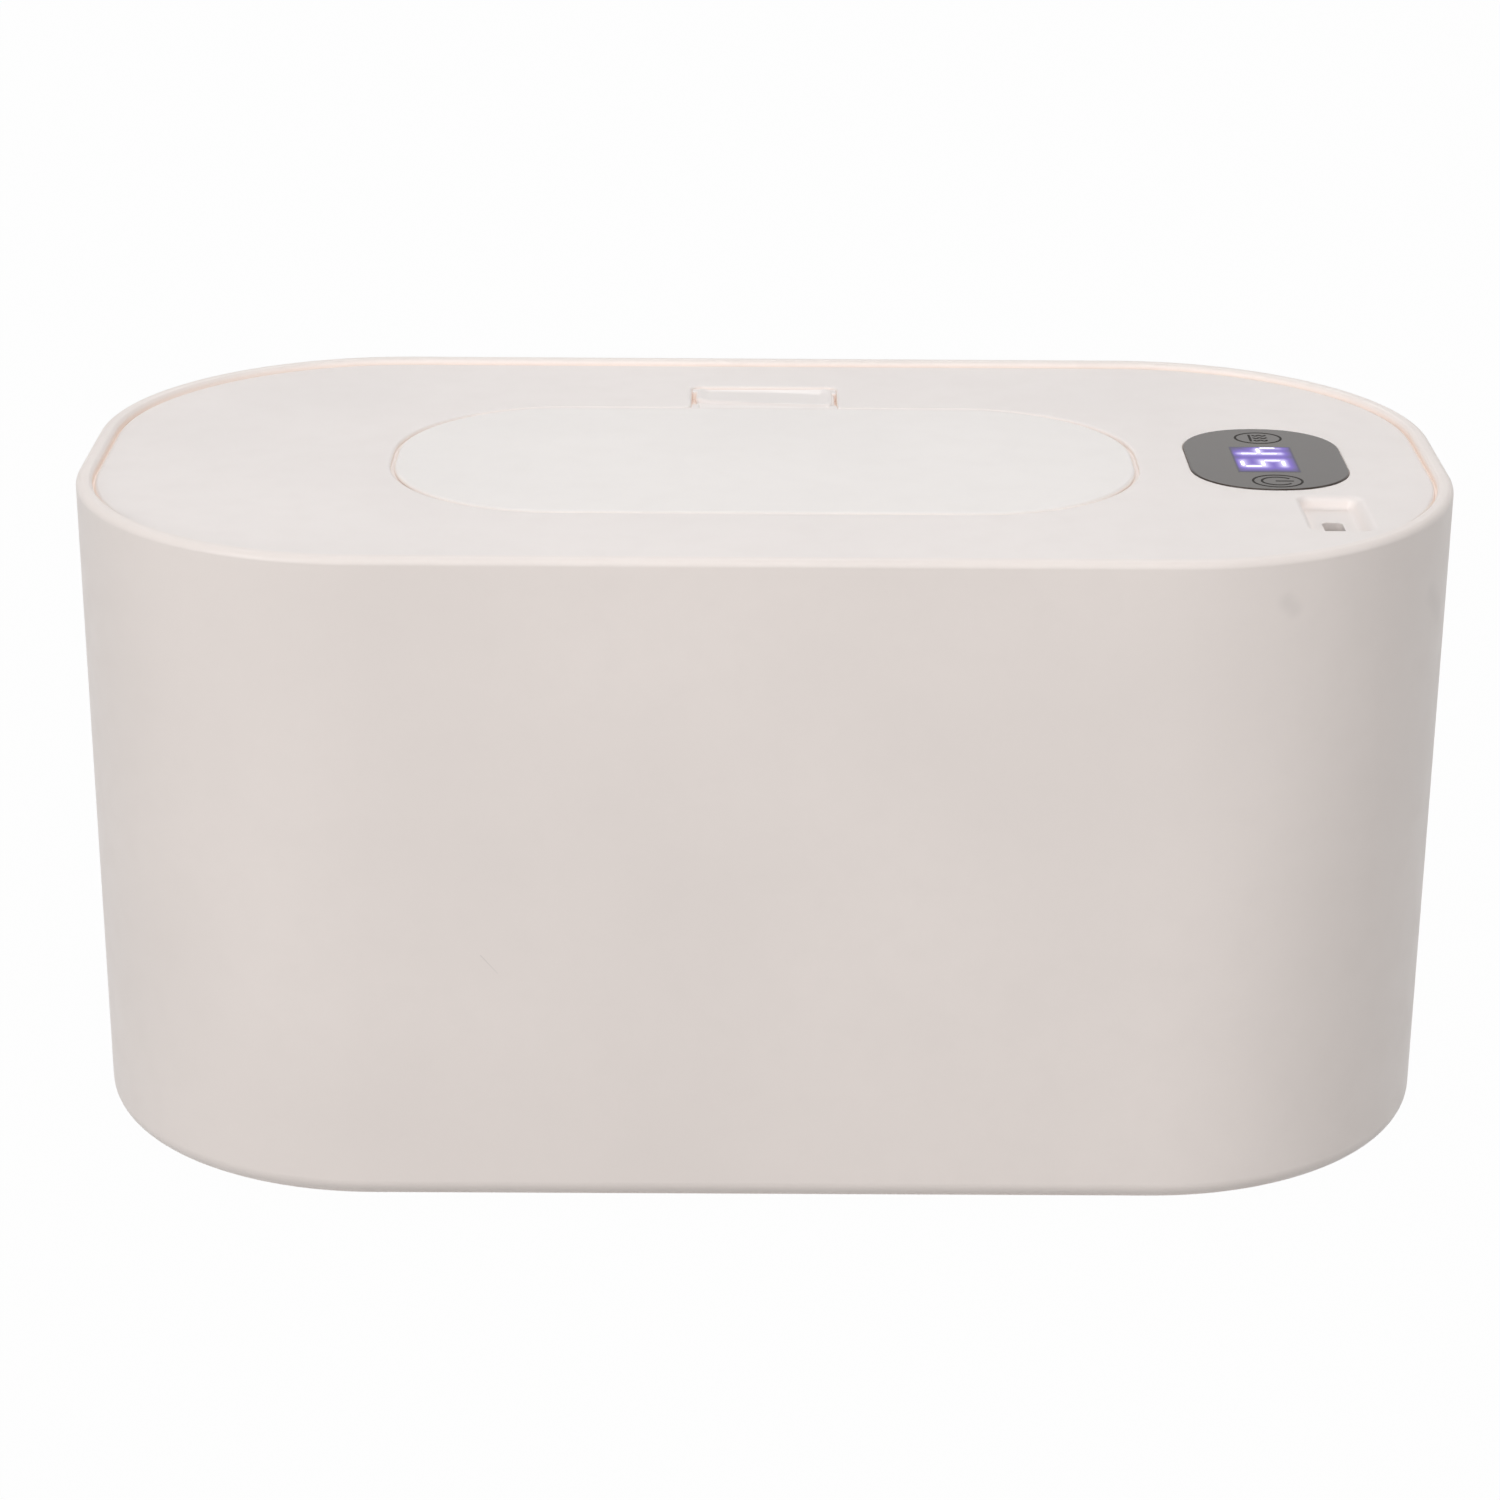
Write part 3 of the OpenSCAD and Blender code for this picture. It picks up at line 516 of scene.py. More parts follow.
def paper_floor():
    """Pale seamless paper. The eye and mirrors see it almost white, and it keeps part of its shadow."""
    material, tree, shader, place = new_material("seamless_paper", {"Roughness": 0.9, "IOR": 1.3})
    fibre = noise(tree, place, 1.5 * MM, 3.0)
    tone = tinted(tree, linear("#8E8E8E"), linear("#989898"), spread(tree, fibre, 0, 1))
    tree.links.new(tone, shader.inputs["Base Color"])
    ray = add(tree, "ShaderNodeLightPath")
    seen = add(tree, "ShaderNodeMath", {0: ray.outputs["Is Camera Ray"], 1: ray.outputs["Is Glossy Ray"]},
               operation="ADD").outputs[0]
    seen = add(tree, "ShaderNodeMath", {0: seen, 1: ray.outputs["Is Transmission Ray"]}, operation="ADD",
               use_clamp=True).outputs[0]
    share = add(tree, "ShaderNodeMath", {0: seen, 1: STAGE["floor_white"]}, operation="MULTIPLY").outputs[0]
    white = add(tree, "ShaderNodeEmission", {"Color": (1, 1, 1, 1), "Strength": 1.0}).outputs[0]
    mixed = add(tree, "ShaderNodeMixShader", {0: share, 1: shader.outputs[0], 2: white}).outputs[0]
    tree.links.new(mixed, tree.nodes["Material Output"].inputs["Surface"])
    return material


FINISHES = {}


def make_finishes(colours):
    """Every finish by its name, made once."""
    if FINISHES:
        return FINISHES
    smudges = [
        ((-40.8 * MM, -54.6 * MM, 40.4 * MM), (-38.4 * MM, -54.6 * MM, 37.6 * MM), 0.14 * MM, 0.5),
        ((73.2 * MM, -52.6 * MM, 94.0 * MM), (74.4 * MM, -52.3 * MM, 92.8 * MM), 2.2 * MM, 0.12),
        ((96.5 * MM, -31.0 * MM, 88.5 * MM), (98.5 * MM, -27.0 * MM, 84.5 * MM), 3.0 * MM, 0.09),
    ]
    FINISHES.update({
        "case": moulded_abs("moulded_abs_case", linear(colours.case), marks=smudges),
        "lid": moulded_abs("moulded_abs_lid", linear(colours.lid), rough=0.45),
        "flap": moulded_abs("moulded_abs_flap", linear(colours.flap), rough=0.4),
        "button": moulded_abs("moulded_abs_button", linear(colours.lid), rough=0.36),
        "tub": plain_finish("moulded_polypropylene", linear(colours.tub), {"IOR": 1.49, "Roughness": 0.5},
                            1.2 * MM, 0.01 * MM, 0.02),
        "silicone": plain_finish("moulded_silicone", linear(colours.silicone), {"IOR": 1.41, "Roughness": 0.62},
                                 0.8 * MM, 0.01 * MM, 0.04),
        "film": smoked_acrylic(linear(colours.film)),
        "diffuser": lit_diffuser(linear(colours.glow)),
        "segment": lit_segment(),
        "ink": plain_finish("screen_printed_ink", linear("#33302E"), {
            "IOR": 1.5, "Roughness": 0.8, "Specular IOR Level": 0.15}, 0.4 * MM, 0.004 * MM, 0.15),
        "aluminium": plain_finish("rolled_aluminium", linear("#C9CACC"), {"Metallic": 1.0, "Roughness": 0.34},
                                  0.9 * MM, 0.006 * MM, 0.06, (0.06, 1, 1)),
        "steel": plain_finish("zinc_plated_steel", linear("#A9ABB0"), {"Metallic": 1.0, "Roughness": 0.3},
                              0.5 * MM, 0.004 * MM, 0.08),
        "spring": plain_finish("drawn_spring_steel", linear("#B9BBBF"), {"Metallic": 1.0, "Roughness": 0.24},
                               0.3 * MM, 0.002 * MM, 0.08),
        "tin": plain_finish("tinned_steel_shell", linear("#8F9093"), {"Metallic": 1.0, "Roughness": 0.36},
                            0.6 * MM, 0.003 * MM, 0.08),
        "black": plain_finish("moulded_epoxy", linear("#1B1B1D"), {"IOR": 1.55, "Roughness": 0.45}, 0.5 * MM,
                              0.005 * MM, 0.12),
        "board": plain_finish("glass_epoxy_board", linear("#1D4F31"), {"IOR": 1.55, "Roughness": 0.32}, 2 * MM,
                              0.01 * MM, 0.18),
        "nylon": plain_finish("moulded_nylon", linear("#E8E2D0"), {"IOR": 1.53, "Roughness": 0.5}, 0.7 * MM,
                              0.006 * MM, 0.04),
        "sleeve": plain_finish("shrunk_sleeve", linear("#26304F"), {"IOR": 1.5, "Roughness": 0.4}, 1 * MM,
                               0.005 * MM, 0.1),
        "foam": plain_finish("closed_cell_foam", linear("#6E6E70"), {"IOR": 1.4, "Roughness": 0.95}, 0.7 * MM,
                             0.15 * MM, 0.2),
        "heater": heater_foil(linear("#B5651D")),
        "red_wire": plain_finish("red_silicone_insulation", linear("#B3241C"), {"IOR": 1.41, "Roughness": 0.5},
                                 0.6 * MM, 0.005 * MM, 0.06),
        "white_wire": plain_finish("white_silicone_insulation", linear("#E4DFD2"), {"IOR": 1.41, "Roughness": 0.5},
                                   0.6 * MM, 0.005 * MM, 0.05),
    })
    return FINISHES


# The CAD nodes that stay as they are, and their finishes.
CARRIED = {
    "dispenser_well": "lid", "lid_base": "tub", "lid_seal": "silicone", "heating_plate": "aluminium",
    "heater_film": "heater", "insulation_pad": "foam", "thermal_fuse": "black", "temperature_sensor": "black",
    "control_board": "board", "digit_display": "black", "control_chip": "black", "power_transistor": "black",
    "input_capacitor": "sleeve", "wire_connectors": "nylon", "heater_wires": "red_wire",
    "sensor_wires": "white_wire", "lid_screws": "steel", "well_screws": "steel", "board_screws": "steel",
    "plate_screws": "steel", "hinge_pin": "steel", "latch_hook": "nylon", "hook_pin": "steel",
}

STAGE = {
    "floor_white": 0.985,
    "ambient": 0.36,
    "yaw": -0.3139,
    "pitch": 20.4835,
    "roll": 0.413,
    "distance": 0.61541,
    "look_at": (0.0, 0.0, 0.05225),
    "focal_px": 3939.78,
    "centre_px": (762.84, 747.76),
    "frame_px": 1500,
    "sensor": 36.0,
}

LAMPS = (
    # name, place, aim, size, watts, colour
    ("left_softbox", (-1.4, -1.4, 0.7), (0, 0, 0.05), 0.8, 13.1, (1.0, 0.995, 0.99)),
    ("front_softbox", (0.0, -1.9, 0.5), (0, 0, 0.05), 0.9, 5.8, (1.0, 0.995, 0.99)),
    ("right_softbox", (1.8, -0.6, 0.8), (0, 0, 0.05), 0.8, 4.6, (1.0, 0.995, 0.99)),
    ("rear_softbox", (0.0, 1.3, 1.3), (0, 0, 0.06), 0.8, 5.8, (1.0, 0.995, 0.99)),
    ("top_softbox", (-0.05, -0.45, 0.8), (0, -0.03, 0.08), 0.5, 1.7, (1.0, 0.995, 0.99)),
)


def values(context):
    """The sizes and the finishes that every operator works with."""
    return context.scene.warmer_sizes, make_finishes(context.scene.warmer_colours)


class WARMER_OT_case(bpy.types.Operator):
    """Case: a leaning wall with a rounded bottom edge and rim, and the ribs that carry the tub"""

    bl_idname = "warmer.case"
    bl_label = "Case"

    def execute(self, context):
        s, finishes = values(context)
        low, high = CASE_LOW.z, CASE_HIGH.z
        width, depth = CASE_HIGH.x - CASE_LOW.x, CASE_HIGH.y - CASE_LOW.y
        floor = low + s.wall
        lean = (high - low) * math.tan(s.draft)
        ledge = 0.33 * MM
        line = plan(width, depth, s.corner_r, steps=48)
        profile = rounded_line([
            (-lean - s.bottom_r - 2 * MM, low, 0), (-lean, low, s.bottom_r), (0, high, s.rim_r),
            (-s.wall, high, 0.7 * MM), (-s.wall, TOP_Z - 0.7 * MM, 0.05 * MM),
            (-s.wall - ledge, TOP_Z - 0.7 * MM, 0.1 * MM), (-s.wall - ledge, TOP_Z - 3 * MM, 0.1 * MM),
            (-s.wall, TOP_Z - 3.5 * MM, 0.1 * MM), (-s.wall, floor, 1.5 * MM), (-s.wall - 4 * MM, floor, 0)],
            closed=False, steps=12, margin=0.03 * MM)
        parts = [skin(line, profile, caps=(True, True))]
        tub_x, tub_y = width / 2 - s.tub_gap, depth / 2 - s.tub_gap
        rib_top = TUB_HIGH.z - 1.5 * MM
        reach = s.tub_gap - s.wall - 0.3 * MM
        for x in (-52 * MM, 0, 52 * MM):
            for side in (-1, 1):
                centre = (x, side * (tub_y + 0.3 * MM + reach / 2))
                parts.append(solid(plan(2 * MM, reach + 0.2 * MM, 0.3 * MM, centre, 3, 0.05 * MM), floor, rib_top))
        for side in (-1, 1):
            centre = (side * (tub_x + 0.3 * MM + reach / 2), 0)
            parts.append(solid(plan(reach + 0.2 * MM, 2 * MM, 0.3 * MM, centre, 3, 0.05 * MM), floor, rib_top))
        piece("case_shell", parts, finishes["case"], "case", ["outer_case"])
        return {"FINISHED"}


class WARMER_OT_tub(bpy.types.Operator):
    """Inner tub: a deep tray with a flange that rests on the case's ribs"""

    bl_idname = "warmer.tub"
    bl_label = "Inner tub"

    def execute(self, context):
        s, finishes = values(context)
        low, high = TUB_LOW.z, TUB_HIGH.z
        flange = 1.5 * MM
        width, depth = CASE_HIGH.x - CASE_LOW.x - 2 * s.tub_gap, CASE_HIGH.y - CASE_LOW.y - 2 * s.tub_gap
        rim = (TUB_HIGH.x - TUB_LOW.x - width) / 2
        line = plan(width, depth, s.corner_r - s.tub_gap, steps=32)
        profile = rounded_line([
            (-6 * MM, low, 0), (0, low, 3 * MM), (0, high - flange, 0), (rim, high - flange, 0.3 * MM),
            (rim, high, 0.3 * MM), (-s.tub_wall, high, 0.6 * MM), (-s.tub_wall, low + s.tub_wall, 4 * MM),
            (-8 * MM, low + s.tub_wall, 0)], closed=False, steps=8)
        piece("tub_shell", [skin(line, profile, caps=(True, True))], finishes["tub"], "case",
              ["inner_tub"])
        return {"FINISHED"}


class WARMER_OT_feet(bpy.types.Operator):
    """Feet: four low pads with rounded edges"""

    bl_idname = "warmer.feet"
    bl_label = "Feet"

    def execute(self, context):
        s, finishes = values(context)
        r = s.foot_r
        x, y = FEET_HIGH.x - r, FEET_HIGH.y - r
        pads = [solid(ring((a * x, b * y), r), FEET_LOW.z, FEET_HIGH.z, 0.4 * MM) for a in (-1, 1) for b in (-1, 1)]
        piece("foot_pads", pads, finishes["silicone"], "case", ["rubber_feet"])
        return {"FINISHED"}


def film_line(s, grow=0.0):
    """The film's outline: large arcs front and back, joined by smaller ones to straight sides."""
    middle = np.array([(FILM_LOW.x + FILM_HIGH.x) / 2, (FILM_LOW.y + FILM_HIGH.y) / 2])
    side_x = (FILM_HIGH.x - FILM_LOW.x) / 2 - s.film_side_r
    side_y = math.sqrt((s.film_r - s.film_side_r) ** 2 - side_x ** 2)
    turn = math.degrees(math.atan2(side_y, side_x))
    arcs = [
        arc((side_x, side_y), s.film_side_r, 0, turn, 12), arc((0, 0), s.film_r, turn, 180 - turn, 40),
        arc((-side_x, side_y), s.film_side_r, 180 - turn, 180, 12),
        arc((-side_x, -side_y), s.film_side_r, 180, 180 + turn, 12),
        arc((0, 0), s.film_r, 180 + turn, 360 - turn, 40),
        arc((side_x, -side_y), s.film_side_r, 360 - turn, 360, 12)]
    points = np.concatenate([part[0] for part in arcs])
    out = np.concatenate([part[1] for part in arcs])
    fresh = np.linalg.norm(points - np.roll(points, 1, 0), axis=1) > 1e-8
    return points[fresh] + middle + out[fresh] * grow, out[fresh]


def flap_middle(s):
    """The Y of the flap's middle, and half its width."""
    return FLAP_HIGH.y - s.flap_d / 2, (FLAP_HIGH.x - FLAP_LOW.x) / 2


class WARMER_OT_lid(bpy.types.Operator):
    """Lid: a level top with the openings' edges rounded, a skirt, and the bosses under it"""

    bl_idname = "warmer.lid"
    bl_label = "Lid"

    def execute(self, context):
        s, finishes = values(context)
        width, depth = LID_HIGH.x - LID_LOW.x, LID_HIGH.y - LID_LOW.y
        outer = plan(width, depth, s.corner_r - (CASE_HIGH.x - CASE_LOW.x - width) / 2, steps=48)
        edge, rest = s.lid_edge, 0.3 * MM
        skirt = rounded_line([
            (-s.shell_t, UNDER_Z, 0), (-s.shell_t, LID_LOW.z, 0), (0, LID_LOW.z, 0), (0, TOP_Z, edge),
            (-edge - rest, TOP_Z, 0)], closed=False, steps=6, margin=0.05 * MM)

        middle, half = flap_middle(s)
        a, front, back = half + s.flap_gap, middle - s.flap_d / 2 - s.flap_gap, middle + s.flap_d / 2 + s.flap_gap
        r, n = s.flap_r + s.flap_gap, s.notch_w / 2
        opening = rounded_line([
            (-a, front, r), (a, front, r), (a, back, r), (n, back, 1 * MM), (n, s.notch_back, 1.6 * MM),
            (-n, s.notch_back, 1.6 * MM), (-n, back, 1 * MM), (-a, back, r)], steps=32)
        hole = rounded_line([(0.4 * MM + rest, TOP_Z, 0), (0, TOP_Z, 0.4 * MM), (0, UNDER_Z, 0),
                             (0.3 * MM, UNDER_Z, 0)], closed=False, steps=6, margin=0.05 * MM)

        recess = film_line(s, 0.06 * MM)
        seat = FILM_LOW.z
        step = rounded_line([(0.3 * MM + rest, TOP_Z, 0), (0, TOP_Z, 0.12 * MM), (0, seat, 0), (-0.5 * MM, seat, 0)],
                            closed=False, steps=6, margin=0.05 * MM)
        window = plan(s.window_w + 0.6 * MM, s.window_l + 0.6 * MM, 0.4 * MM, (s.window_x, s.window_y), 6)
        shaft = [(0, seat), (0, UNDER_Z)]

        inlet = plan(s.inlet_w, s.inlet_l, 1.8 * MM, (s.inlet_x, s.inlet_y), 12)
        ledge = TOP_Z - s.inlet_deep
        round_in = s.inlet_edge
        slope = rounded_line([(round_in + rest, TOP_Z, 0), (0, TOP_Z, round_in), (-0.45 * MM, ledge, 0.7 * MM),
                              (-1.1 * MM, ledge, 0)], closed=False, steps=10, margin=0.05 * MM)
        inlet_wall, inlet_floor = self.leaning(inlet, slope, 0.8 * MM, ledge)
        socket_middle = ((SOCKET_LOW.x + SOCKET_HIGH.x) / 2, (SOCKET_LOW.y + SOCKET_HIGH.y) / 2)
        slot_w, slot_l = SOCKET_HIGH.x - SOCKET_LOW.x, SOCKET_HIGH.y - SOCKET_LOW.y + 0.2 * MM
        slot = plan(slot_w - 0.2 * MM, slot_l - 0.75 * MM, 0.9 * MM,
                    (socket_middle[0] - 0.22 * MM, socket_middle[1] - 0.15 * MM), 8, 0.1 * MM)
        pocket_z = ledge - s.shell_t
        slot_wall = rounded_line([(0.15 * MM, ledge, 0), (0, ledge, 0.12 * MM), (0, pocket_z, 0)],
                                 closed=False, steps=6, margin=0.02 * MM)
        pocket = plan(s.inlet_w + 2 * s.shell_t, s.inlet_l + 2 * s.shell_t, 3.4 * MM, (s.inlet_x, s.inlet_y), 12)

        parts = [
            skin(outer, skirt), skin(opening, hole), skin(recess, step), skin(window, shaft),
            inlet_wall, skin(slot, slot_wall), skin(pocket, [(0, pocket_z), (0, UNDER_Z)]),
            flat([moved_out(outer, -edge - rest), moved_out(opening, 0.4 * MM + rest),
                  moved_out(recess, 0.3 * MM + rest), moved_out(inlet, round_in + rest)], TOP_Z),
            flat([moved_out(recess, -0.5 * MM), window[0]], seat),
            flat([inlet_floor, moved_out(slot, 0.15 * MM)], ledge),
            flat([pocket[0], slot[0]], pocket_z, up=False),
            flat([moved_out(outer, -s.shell_t), moved_out(opening, 0.3 * MM), window[0], pocket[0]], UNDER_Z,
                 up=False)]
        seat_line = plan(2 * a + 0.6 * MM, back - front + 0.6 * MM, r + 0.3 * MM, (0, middle), 48)
        seat_ring = tube(seat_line, 1.2 * MM, UNDER_Z, TOP_Z - 0.75 * MM, 0.1 * MM)
        parts.append(self.sunk(seat_line, seat_ring, 1.2 * MM))
        parts.append(self.sunk(seat_line, self.groove_floor(seat_line, 0.75 * MM), 0.75 * MM))
        bosses = [(x, y, 3, LID_LOW.z) for x in (-35, 35) for y in (-45.5, 45.5)]
        bosses += [(x, 6, 3, LID_LOW.z) for x in (-92.5, 92.5)]
        for x, y, radius, low in bosses:
            parts.append(tube(ring((x * MM, y * MM), radius * MM, 32), (radius - 1.3) * MM, low, UNDER_Z))
        piece("lid_shell", parts, finishes["lid"], "lid", ["lid_cover"])
        return {"FINISHED"}


    def leaning(self, line, profile, lean, low):
        """A recess's wall and the outline of its floor, whose right side leans further in: a point moves left by the
        lean, times its share of the depth, times how far its outward direction points right."""
        points, faces = skin(line, profile)
        right = np.clip(line[1][:, 0], 0, 1)
        depth = np.clip((TOP_Z - points[:, 2]) / (TOP_Z - low), 0, 1)
        points[:, 0] -= lean * depth * np.tile(right, len(profile))
        return (points, faces), points[-len(right):, :2]

    def groove_floor(self, line, wide):
        """A low ring in the groove round the flap. Its top rises with the share s of the outward direction that lies
        along Y, from 0.68 mm below the lid at the ends to 0.15 mm along the back, as s^2. Along the front, where the
        flap's edge swings down through the groove, it doesn't rise."""
        points, faces = tube(line, wide, TOP_Z - 1.2 * MM, TOP_Z - 0.68 * MM, 0.08 * MM)
        share = np.tile(line[1][:, 1] ** 2 * (1 - self.in_front(line)), len(points) // len(line[0]))
        points[:, 2] += np.where(points[:, 2] > TOP_Z - 1 * MM, 0.53 * MM * share, 0)
        return points, faces

    def in_front(self, line):
        """How far each point of a line round the flap lies in the front part: a ramp from 0 to 1 over 2 mm of Y."""
        return np.clip((-26.5 * MM - line[0][:, 1]) / (2 * MM), 0, 1)

    def sunk(self, line, surface, wide):
        """A ring in the groove, whose front part is moved out into the wall by its own width: the flap's edge swings
        down there."""
        points, faces = surface
        away = line[1] * self.in_front(line)[:, None] * (wide + 0.1 * MM)
        points[:, :2] += np.tile(away, (len(points) // len(line[0]), 1))
        return points, faces


class WARMER_OT_flap(bpy.types.Operator):
    """Flap: a flush slab with a soft edge, two curved arms to the hinge, the seal's wall and the catch"""

    bl_idname = "warmer.flap"
    bl_label = "Flap"

    def execute(self, context):
        s, finishes = values(context)
        middle, half = flap_middle(s)
        lip, step = 0.6 * MM, 1.6 * MM
        top, low = FLAP_HIGH.z, FLAP_HIGH.z - s.flap_t
        line = plan(2 * half, s.flap_d, s.flap_r, (0, middle), 48)
        profile = rounded_line([
            (-step - 3 * MM, low, 0), (-step, low, 0.4 * MM), (-step, top - lip, 0.2 * MM), (0, top - lip, 0.04 * MM),
            (0, top, s.flap_edge), (-s.flap_edge - 0.6 * MM, top, 0)], closed=False, steps=8, margin=0.04 * MM)
        parts = [skin(line, profile, caps=(True, True))]

        wall_line = stadium(SEAL_HIGH.x - SEAL_LOW.x + 0.4 * MM, SEAL_HIGH.y - SEAL_LOW.y + 0.4 * MM,
                            (0, (SEAL_LOW.y + SEAL_HIGH.y) / 2))
        parts.append(tube(wall_line, 2 * MM, SEAL_HIGH.z, low + 0.2 * MM, 0.15 * MM))

        parts += [along_x(arm, x) for x in (-25 * MM, 20 * MM) for arm in self.arm(low - HINGE[2])]
        parts += [self.catch(top)]
        piece("flap_shell", parts, finishes["flap"], "flap", ["flap"])
        return {"FINISHED"}

    def arm(self, slab):
        """One arm: a knuckle round the pin, and a hook that goes down, round and up to the slab's underside."""
        y, z = HINGE[1], HINGE[2]
        wide = 5 * MM
        near, far = 6.7 * MM, 8.7 * MM
        hook = [(-1.3, -0.9, 0.35), (-2.6, -8.7, 0.6), (8.7, -8.7, 8.6), (8.7, slab / MM + 0.1, 0.35),
                (6.7, slab / MM + 0.1, 0.35), (6.7, -6.7, 6.6), (-0.1, -6.7, 0.05), (1.3, -0.9, 0.35)]
        corners = np.array(hook) * MM
        corners[:, :2] += (y, z)
        foot = plan(far - near + 2 * MM, 1.2 * MM, 0.3 * MM, (y + (near + far) / 2 + 1 * MM, z + slab - 0.3 * MM), 4,
                    0.05 * MM)
        return [
            solid(rounded_line(corners, steps=20, margin=0.04 * MM), 0, wide, 0.25 * MM),
            tube(ring((y, z), 1.6 * MM), 0.8 * MM, 0, wide, 0.1 * MM),
            solid(foot, 0, wide, 0.2 * MM)]

    def catch(self, top):
        """The catch under the flap's back edge: a tab with a small barb."""
        corners = [(23, -8, 0.2), (25.2, -8, 0.2), (26, -7.2, 0.15), (26, -6.9, 0.12), (24.6, -6.9, 0.2),
                   (24.6, -1.9, 0.2), (23, -1.9, 0.2)]
        line = rounded_line([(a * MM, b * MM + top, r * MM) for a, b, r in corners], steps=5, margin=0.02 * MM)
        return along_x(solid(line, 0, 8 * MM, 0.08 * MM), -4 * MM)


